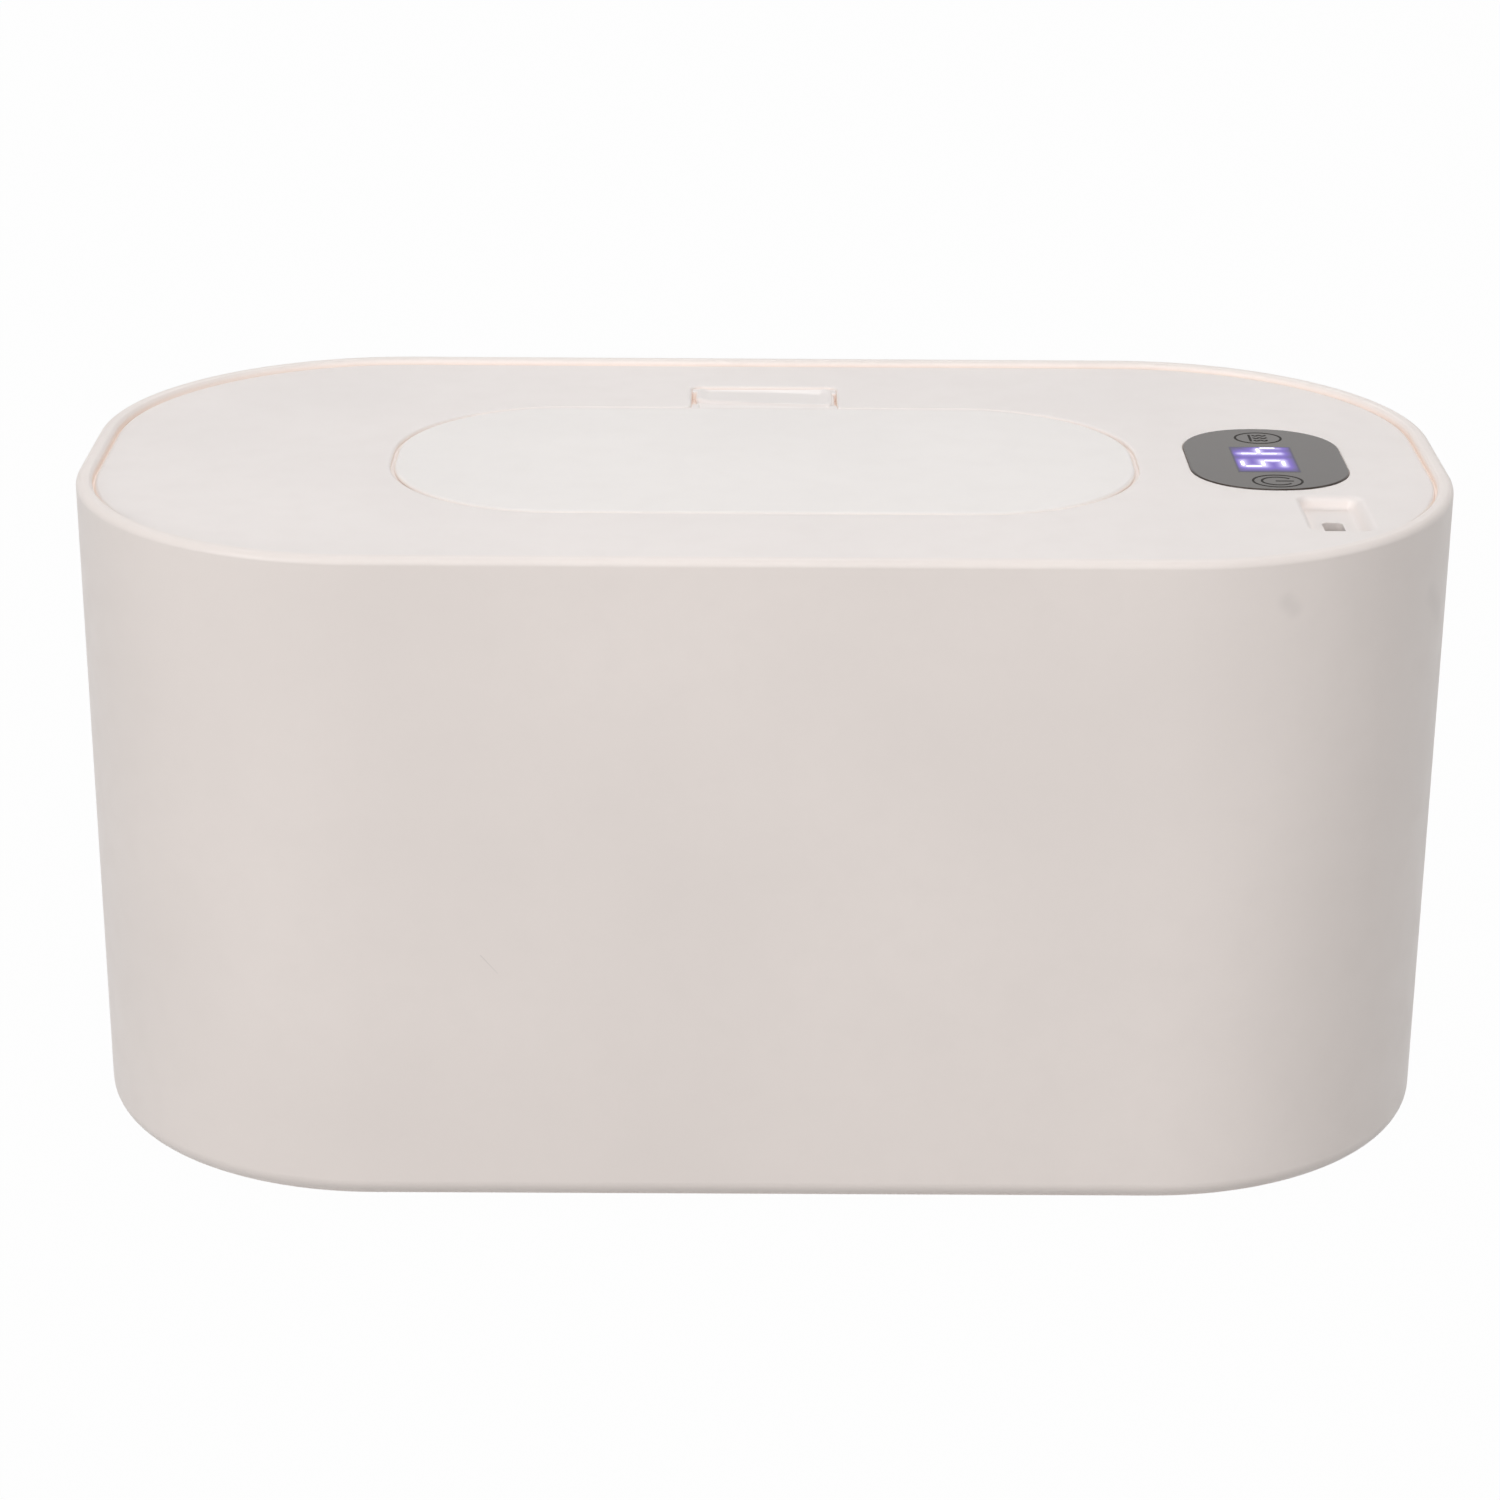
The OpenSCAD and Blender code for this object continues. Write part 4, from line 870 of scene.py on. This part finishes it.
class WARMER_OT_button(bpy.types.Operator):
    """Latch button: a rounded key with a shallow dish, two side plates and the foot that presses the hook"""

    bl_idname = "warmer.button"
    bl_label = "Latch button"

    def execute(self, context):
        s, finishes = values(context)
        half_x, half_y = (BUTTON_HIGH.x - BUTTON_LOW.x) / 2, s.button_l / 2
        back = BUTTON_HIGH.y
        centre_y = back - half_y
        top = BUTTON_HIGH.z
        parts = [self.key(half_x, half_y, centre_y, top, s.dish_depth)]
        for side in (-1, 1):
            line = plan(1.2 * MM, s.button_l - 2 * MM, 0.3 * MM, (side * (half_x - 0.9 * MM), centre_y), 4, 0.05 * MM)
            parts.append(solid(line, top - 7.5 * MM, top - 2 * MM))
        flange = plan(2 * half_x + 1.3 * MM, s.button_l, 1.55 * MM, (0, centre_y + 0.53 * MM), 8, 0.05 * MM)
        parts.append(solid(flange, top - 2.4 * MM, top - 1.5 * MM, 0.1 * MM))
        reach = s.notch_w / 2 - 0.03 * MM
        inner = half_x - 0.6 * MM
        for start, low_y, high_y in ((-reach, 27.35 * MM, 29.6 * MM), (-reach, 36.8 * MM, 38.6 * MM),
                                     (inner, 27.35 * MM, 29.2 * MM), (inner, 36.2 * MM, 38.6 * MM)):
            wide = reach - half_x + 0.6 * MM
            ear = plan(wide, high_y - low_y, 0.3 * MM, (start + wide / 2, (low_y + high_y) / 2), 6, 0.05 * MM)
            parts.append(solid(ear, top - 2 * MM, top - 0.12 * MM, 0.15 * MM))
        cheek = plan(0.6 * MM, 9 * MM, 0.15 * MM, (half_x - 0.05 * MM, 33 * MM), 4, 0.05 * MM)
        parts.append(solid(cheek, top - 2 * MM, top - 0.35 * MM, 0.1 * MM))
        foot = plan(5 * MM, 1.4 * MM, 0.3 * MM, (0, 36.6 * MM), 4, 0.05 * MM)
        parts.append(solid(foot, BUTTON_LOW.z, top - 2 * MM))
        piece("latch_button_key", parts, finishes["button"], "button", ["latch_button"])
        return {"FINISHED"}

    def key(self, half_x, half_y, centre_y, top, depth):
        """The key's top is a grid over a rounded rectangle: its rows run from the front to the back, and a row's half
        width shrinks by r - sqrt(r^2 - d^2) in the corners. With t^2 (3 - 2t) as the soft step, the height drops by
        an edge arc near the outline, by the dish, which falls behind the back lip and rises again to the front lip,
        and by a step in front of that lip. Both lips come closer at the ends, and lie further forward to the right."""
        r, edge = 1.3 * MM, 0.4 * MM
        share = np.linspace(-1, 1, 121)
        y_row = (0.6 * share + 0.4 * np.sin(share * np.pi / 2)) * half_y
        inside = np.clip(np.abs(y_row) - (half_y - r), 0, r)
        row_half = half_x - (r - np.sqrt(np.maximum(r * r - inside ** 2, 0)))
        u = np.tanh(np.linspace(-3, 3, 121)) / np.tanh(3)
        x = u[None] * row_half[:, None]
        y = np.broadcast_to(y_row[:, None], x.shape)
        far_x, far_y = np.maximum(np.abs(x) - (half_x - r), 0), np.maximum(np.abs(y) - (half_y - r), 0)
        corner = np.hypot(far_x, far_y)
        gap = np.where((far_x > 0) & (far_y > 0), r - corner, np.minimum(half_x - np.abs(x), half_y - np.abs(y)))
        near = np.clip(edge - gap, 0, edge)
        drop = edge - np.sqrt(np.maximum(edge ** 2 - near ** 2, 0))

        def step(value, start, end):
            t = np.clip((value - start) / (end - start), 0, 1)
            return t * t * (3 - 2 * t)

        from_back = half_y - y
        across = x / half_x
        right = (across + 1) / 2
        pinch = 1 - np.sqrt(1 - np.clip((np.abs(across) - 0.74) / 0.26, 0, 1) ** 2)
        back_lip = (0.95 + 0.5 * right + 2.3 * right ** 4 + 1.6 * pinch) * MM
        front_lip = (6.7 + 4.0 * right - 1.2 * right ** 2 - 1.4 * pinch) * MM
        ends = step(half_x - 0.4 * MM - np.abs(x), 0, 1.8 * MM)
        fall = depth * (0.9 + 0.2 * right)
        rise = np.clip((from_back - back_lip) / (front_lip - back_lip), 0, 1)
        dish = step(from_back, -0.9 * MM, back_lip) * (fall - 0.24 * MM * rise) * ends
        brow = step(from_back, front_lip - 0.5 * MM, front_lip) * np.maximum(fall - 0.24 * MM - 0.05 * MM, 0) * ends
        nose = (0.62 - 0.3 * right) * MM * step(from_back, front_lip, front_lip + 0.8 * MM)
        ramp = 0.1 * np.clip(from_back - front_lip - 0.8 * MM, 0, None)
        drop = np.minimum(drop + dish - brow + nose + ramp, 1.6 * MM)
        z = top - drop
        rows, columns = x.shape
        points = np.stack([x, y + centre_y, z], -1).reshape(-1, 3)
        number = np.arange(rows * columns).reshape(rows, columns)
        border = np.concatenate([number[0, :-1], number[:-1, -1], number[-1, :0:-1], number[:0:-1, 0]])
        low = points[border] * (1, 1, 0) + (0, 0, top - 2.2 * MM)
        count, first = len(border), rows * columns
        beside = np.roll(np.arange(count), -1)
        wall = np.stack([first + np.arange(count), first + beside, border[beside], border], -1)
        under = (first + np.arange(count))[None, ::-1]
        return np.concatenate([points, low]), [grid_faces(rows, columns, columns_closed=False), wall, under]


# The seven bars of a digit, as ends in units of half its width and half its height.
BARS = {
    "a": ((-1, 1), (1, 1)), "b": ((1, 1), (1, 0)), "c": ((1, 0), (1, -1)), "d": ((-1, -1), (1, -1)),
    "e": ((-1, 0), (-1, -1)), "f": ((-1, 1), (-1, 0)), "g": ((-1, 0), (1, 0)),
}
DIGITS = (("fgbc", 3.3 * MM), ("afgcd", -3.45 * MM))


class WARMER_OT_display(bpy.types.Operator):
    """Display: the smoked film, the lit window with two digits, and the two printed key marks"""

    bl_idname = "warmer.display"
    bl_label = "Display"

    def execute(self, context):
        s, finishes = values(context)
        line = film_line(s)
        top = FILM_HIGH.z - 0.12 * MM
        film = solid(line, FILM_LOW.z, top, s.film_edge)
        piece("smoked_film", [film], finishes["film"], "lid", ["display_film"])

        half_w, half_h, thick = 1.5 * MM, 3.1 * MM, 0.34 * MM
        ends = []
        for bars, y in DIGITS:
            for bar in bars:
                (r0, u0), (r1, u1) = BARS[bar]
                ends.append(((s.window_x - 0.45 * MM + u0 * half_h, y - r0 * half_w),
                             (s.window_x - 0.45 * MM + u1 * half_h, y - r1 * half_w)))
        self.window(s, finishes, ends, top)
        bars = [self.bar(np.array(a), np.array(b), thick, top) for a, b in ends]
        piece("digit_bars", bars, finishes["segment"], "lid")
        piece("key_marks", self.marks(top), finishes["ink"], "lid")
        return {"FINISHED"}

    def window(self, s, finishes, ends, top):
        """A level grid whose glow falls off with the distance to the nearest lit bar, as 0.6 exp(-(d / 0.6)^2) +
        0.4 exp(-(d / 2.4)^2) in mm, times a fade to the window's edges."""
        low, high = top - 0.02 * MM, top + 0.012 * MM
        x = np.linspace(-0.5, 0.5, 72) * s.window_w
        y = np.linspace(-0.5, 0.5, 104) * s.window_l
        gx, gy = np.meshgrid(x + s.window_x, y + s.window_y)
        a, b = (np.array([end[k] for end in ends])[:, :, None, None] for k in (0, 1))
        run = b - a
        along = np.clip(((gx - a[:, 0]) * run[:, 0] + (gy - a[:, 1]) * run[:, 1]) / (run ** 2).sum(1), 0, 1)
        gap = np.hypot(gx - a[:, 0] - along * run[:, 0], gy - a[:, 1] - along * run[:, 1]).min(0)
        glow = 0.6 * np.exp(-(gap / (0.6 * MM)) ** 2) + 0.4 * np.exp(-(gap / (2.4 * MM)) ** 2)
        edge = np.minimum(s.window_w / 2 - np.abs(gx - s.window_x), s.window_l / 2 - np.abs(gy - s.window_y))
        glow = glow * np.clip((edge - 0.08 * MM) / (0.3 * MM), 0, 1) * (0.35 + 0.65 * np.clip(edge / (1.7 * MM), 0, 1))
        points = np.stack([gx, gy, np.full_like(gx, high)], -1).reshape(-1, 3)
        rows, columns = gx.shape
        number = np.arange(rows * columns).reshape(rows, columns)
        border = np.concatenate([number[0, :-1], number[:-1, -1], number[-1, :0:-1], number[:0:-1, 0]])
        under = points[border] * (1, 1, 0) + (0, 0, low)
        count, first = len(border), rows * columns
        beside = np.roll(np.arange(count), -1)
        wall = np.stack([first + np.arange(count), first + beside, border[beside], border], -1)
        faces = [grid_faces(rows, columns, columns_closed=False), wall, (first + np.arange(count))[None, ::-1]]
        made = piece("lit_window", [(np.concatenate([points, under]), faces)], finishes["diffuser"], "lid")
        level = np.concatenate([glow.reshape(-1), glow.reshape(-1)[border]])
        place = np.empty(len(made.data.vertices) * 3)
        made.data.vertices.foreach_get("co", place)
        if len(place) != 3 * len(level):
            raise RuntimeError("the lit window's points don't match its glow")
        attribute = made.data.attributes.new("glow", "FLOAT", "POINT")
        attribute.data.foreach_set("value", level.astype(np.float32))

    heat_mark = (76.2 * MM, 10.4 * MM)
    power_mark = (76.4 * MM, -12.7 * MM)

    def bar(self, a, b, half, top):
        """A bar with pointed ends, a little short of the next bar."""
        run = unit(b - a)
        side = np.array([-run[1], run[0]])
        a, b = a + run * 0.28 * MM, b - run * 0.28 * MM
        corners = [a, a + (run - side) * half * 0.8, b - (run + side) * half * 0.8, b,
                   b - (run - side) * half * 0.8, a + (run + side) * half * 0.8]
        line = rounded_line([(*corner, 0.08 * MM) for corner in corners], steps=3, margin=0.01 * MM)
        return solid(line, top, top + 0.03 * MM, 0.008 * MM, 2)

    def marks(self, top):
        """Thin ribbons of ink: two ovals, an open oval with a bar, and a base line with three waves."""
        line_w = 0.36 * MM
        low, high = top - 0.01 * MM, top + 0.02 * MM

        def ribbon(path, width=line_w):
            path = np.asarray(path, float)
            run = unit(np.gradient(path, axis=0))
            side = np.column_stack([-run[:, 1], run[:, 0]]) * width / 2
            outline = np.concatenate([path - side, (path + side)[::-1]])
            count, half = len(outline), len(path)
            points = np.concatenate([np.column_stack([outline, np.full(count, z)]) for z in (high, low)])
            k = np.arange(half - 1)
            tops = np.stack([k, k + 1, count - 2 - k, count - 1 - k], -1)
            k = np.arange(count)
            walls = np.stack([k + count, (k + 1) % count + count, (k + 1) % count, k], -1)
            return points, [tops, tops[:, ::-1] + count, walls]

        def oval(centre, wide, long, start, end):
            angle = np.radians(np.linspace(start, end, 73))
            return ribbon(np.column_stack([centre[0] + wide * np.cos(angle), centre[1] + long * np.sin(angle)]))

        def ring_of(centre, wide, long):
            angle = np.linspace(0, 2 * np.pi, 96, endpoint=False)
            line = np.column_stack([centre[0] + wide * np.cos(angle), centre[1] + long * np.sin(angle)])
            out = unit(np.column_stack([np.cos(angle) / wide, np.sin(angle) / long]))
            return tube((line, out), line_w, low, high, 0.004 * MM, 1)

        heat, power = self.heat_mark, self.power_mark
        made = [ring_of(heat, 3.7 * MM, 3.1 * MM), ring_of(power, 3.85 * MM, 3.25 * MM),
                oval(power, 2.35 * MM, 2.0 * MM, 38, 322),
                ribbon([(power[0] + t * MM, power[1]) for t in np.linspace(-0.3, 2.4, 5)]),
                ribbon([(heat[0] - 1.25 * MM, heat[1] + t * 1.8 * MM) for t in np.linspace(-1, 1, 5)], 0.38 * MM)]
        for row in (-1.35, 0, 1.35):
            along = np.linspace(-0.75, 1.4, 25) * MM
            wave = heat[1] + row * MM + 0.24 * MM * np.sin(along / MM * 5.6)
            made.append(ribbon(np.column_stack([heat[0] + along, wave]), 0.38 * MM))
        return made


class WARMER_OT_socket(bpy.types.Operator):
    """Power socket: a thin oval shell with its tongue, and the dark block at its bottom"""

    bl_idname = "warmer.socket"
    bl_label = "Power socket"

    def execute(self, context):
        finishes = values(context)[1]
        middle = ((SOCKET_LOW.x + SOCKET_HIGH.x) / 2, (SOCKET_LOW.y + SOCKET_HIGH.y) / 2)
        width, depth = SOCKET_HIGH.x - SOCKET_LOW.x, SOCKET_HIGH.y - SOCKET_LOW.y
        low, high = SOCKET_LOW.z, SOCKET_HIGH.z - 1.4 * MM
        shell = tube(stadium(width, depth, middle), 0.3 * MM, low, high, 0.08 * MM)
        piece("socket_shell", [shell], finishes["tin"], "lid", ["usb_socket"])
        inside = solid(stadium(width - 0.6 * MM, depth - 0.6 * MM, middle), low, high - 4.3 * MM)
        tongue = solid(plan(0.7 * MM, 6.6 * MM, 0.2 * MM, middle, 4, 0.05 * MM), high - 4.4 * MM, high - 0.8 * MM,
                       0.1 * MM)
        piece("socket_tongue", [inside, tongue], finishes["black"], "lid")
        return {"FINISHED"}


class WARMER_OT_springs(bpy.types.Operator):
    """Springs: the key springs, the flap's torsion spring and the button's return spring, as smooth wire"""

    bl_idname = "warmer.springs"
    bl_label = "Springs"

    def execute(self, context):
        finish = values(context)[1]["spring"]
        radius = 0.25 * MM
        turns = helix(2.6 * MM, 5, KEYS_LOW.z + radius, KEYS_HIGH.z - radius)
        keys = [wire(turns + (x, y, 0), radius, (0, 0, 1)) for x, y in ((76.1 * MM, 11.4 * MM), (76.6 * MM, -11.9 * MM))]
        piece("key_springs", keys, finish, "lid", ["touch_springs"])

        radius = 0.2 * MM
        turns = helix(1.5 * MM, 3, RETURN_LOW.z + radius, RETURN_HIGH.z - radius)
        middle = ((RETURN_LOW.y + RETURN_HIGH.y) / 2)
        back = piece("button_spring", [wire(turns + (0, middle, 0), radius, (0, 0, 1))], finish, "lid",
                     ["latch_spring"])
        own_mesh(back)
        self.flap_spring(finish)
        return {"FINISHED"}

    def flap_spring(self, finish):
        """A coil about the hinge pin. One leg bears on the pocket's front, the other pushes the flap's arm."""
        pin_y, pin_z = HINGE[1], HINGE[2]
        x0, pitch, turns, r = 11.5 * MM, 1.1 * MM, 6, 1.3 * MM
        share = np.linspace(0, 1, turns * 24 + 1)
        angle = math.radians(190) + 2 * np.pi * turns * share
        coil = np.column_stack([x0 + pitch * turns * share, pin_y + r * np.cos(angle), pin_z + r * np.sin(angle)])
        x1 = x0 + pitch * turns
        low = smooth_path([(x0 - 0.3 * MM, pin_y - 2.5 * MM, pin_z - 5 * MM),
                           (x0 - 0.2 * MM, pin_y - 1.9 * MM, pin_z - 2.2 * MM), coil[0]])[:-1]
        high = smooth_path([coil[-1], (x1 + 0.5 * MM, pin_y - 1.7 * MM, pin_z - 1.9 * MM),
                            (x1 + 0.9 * MM, pin_y - 2.45 * MM, pin_z - 4 * MM),
                            (x1 + 3.5 * MM, pin_y - 2.5 * MM, pin_z - 4.4 * MM)])[1:]
        points, faces = wire(np.concatenate([low, coil, high]), 0.3 * MM, (1, 0, 0))
        made = piece("flap_torsion_spring", [(points, faces)], finish, None, ["flap_spring"])
        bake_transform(made)


class WARMER_OT_finishes(bpy.types.Operator):
    """Finishes for the pieces that keep their CAD shape"""

    bl_idname = "warmer.finishes"
    bl_label = "Inner finishes"

    def execute(self, context):
        finishes = values(context)[1]
        for name, finish in CARRIED.items():
            mesh = frame["nodes"][name].data
            mesh.materials.clear()
            mesh.materials.append(finishes[finish])
        return {"FINISHED"}


class WARMER_OT_stage(bpy.types.Operator):
    """Studio: pale floor, soft lamps, a white surround and the camera"""

    bl_idname = "warmer.stage"
    bl_label = "Studio"

    def execute(self, context):
        reach = 4.0
        mesh = bpy.data.meshes.new("floor")
        mesh.from_pydata([(-reach, -reach, 0), (reach, -reach, 0), (reach, reach, 0), (-reach, reach, 0)], [],
                         [(0, 1, 2, 3)])
        mesh.materials.append(paper_floor())
        floor = bpy.data.objects.new("floor", mesh)
        context.scene.collection.objects.link(floor)
        for name, place, aim, size, watts, tint in LAMPS:
            lamp = bpy.data.lights.new(name, "AREA")
            lamp.shape, lamp.size, lamp.energy, lamp.color = "SQUARE", size, watts, tint
            holder = bpy.data.objects.new(name, lamp)
            holder.location = place
            holder.rotation_euler = (Vector(aim) - Vector(place)).to_track_quat("-Z", "Y").to_euler()
            context.scene.collection.objects.link(holder)
        self.surround(context)
        self.camera(context)
        context.scene.view_settings.view_transform = "Standard"
        return {"FINISHED"}

    def surround(self, context):
        """White to the eye and to mirrors, and a plain level of soft light to everything else."""
        world = bpy.data.worlds.new("surround")
        context.scene.world = world
        world.use_nodes = True
        tree = world.node_tree
        ray = add(tree, "ShaderNodeLightPath")
        seen = add(tree, "ShaderNodeMath", {0: ray.outputs["Is Camera Ray"], 1: ray.outputs["Is Glossy Ray"]},
                   operation="ADD").outputs[0]
        seen = add(tree, "ShaderNodeMath", {0: seen, 1: ray.outputs["Is Transmission Ray"]}, operation="ADD",
                   use_clamp=True).outputs[0]
        strength = spread(tree, seen, STAGE["ambient"], 1.0, 0.0, 1.0)
        tree.links.new(strength, tree.nodes["Background"].inputs["Strength"])
        tree.nodes["Background"].inputs["Color"].default_value = (1, 1, 1, 1)

    def camera(self, context):
        """The photograph's view: turned, raised and rolled about a point inside the case."""
        yaw, pitch, roll = (math.radians(STAGE[key]) for key in ("yaw", "pitch", "roll"))
        back = Vector((math.sin(yaw) * math.cos(pitch), -math.cos(yaw) * math.cos(pitch), math.sin(pitch)))
        right = Vector((math.cos(yaw), math.sin(yaw), 0))
        up = back.cross(right)
        right, up = right * math.cos(roll) + up * math.sin(roll), up * math.cos(roll) - right * math.sin(roll)
        lens = bpy.data.cameras.new("camera")
        lens.sensor_width = STAGE["sensor"]
        lens.lens = STAGE["focal_px"] / STAGE["frame_px"] * STAGE["sensor"]
        half = STAGE["frame_px"] / 2
        lens.shift_x = (half - STAGE["centre_px"][0]) / STAGE["frame_px"]
        lens.shift_y = (STAGE["centre_px"][1] - half) / STAGE["frame_px"]
        lens.clip_start, lens.clip_end = 0.01, 20
        holder = bpy.data.objects.new("camera", lens)
        turn = Matrix((right, up, back)).transposed().to_4x4()
        holder.matrix_world = Matrix.Translation(Vector(STAGE["look_at"]) + back * STAGE["distance"]) @ turn
        context.scene.collection.objects.link(holder)
        context.scene.camera = holder


MAKERS = (WARMER_OT_case, WARMER_OT_tub, WARMER_OT_feet, WARMER_OT_lid, WARMER_OT_flap, WARMER_OT_button,
          WARMER_OT_display, WARMER_OT_socket, WARMER_OT_springs, WARMER_OT_finishes, WARMER_OT_stage)


class WARMER_PT_panel(bpy.types.Panel):
    """Sizes, colours and makers of the warmer's pieces"""

    bl_idname = "WARMER_PT_panel"
    bl_label = "Wipe warmer"
    bl_space_type = "VIEW_3D"
    bl_region_type = "UI"
    bl_category = "Warmer"

    def draw(self, context):
        layout = self.layout
        for group in (context.scene.warmer_sizes, context.scene.warmer_colours):
            for name in group.bl_rna.properties.keys()[2:]:
                layout.prop(group, name)
        for maker in MAKERS:
            layout.operator(maker.bl_idname)


CLASSES = (WarmerSizes, WarmerColours, *MAKERS, WARMER_PT_panel)


def register():
    for cls in CLASSES:
        bpy.utils.register_class(cls)
    bpy.types.Scene.warmer_sizes = bpy.props.PointerProperty(type=WarmerSizes)
    bpy.types.Scene.warmer_colours = bpy.props.PointerProperty(type=WarmerColours)


def unregister():
    del bpy.types.Scene.warmer_sizes
    del bpy.types.Scene.warmer_colours
    for cls in reversed(CLASSES):
        bpy.utils.unregister_class(cls)


def main():
    """Makes every piece and the studio."""
    register()
    for maker in MAKERS:
        group, name = maker.bl_idname.split(".")
        getattr(getattr(bpy.ops, group), name)()


if __name__ == "__main__":
    main()
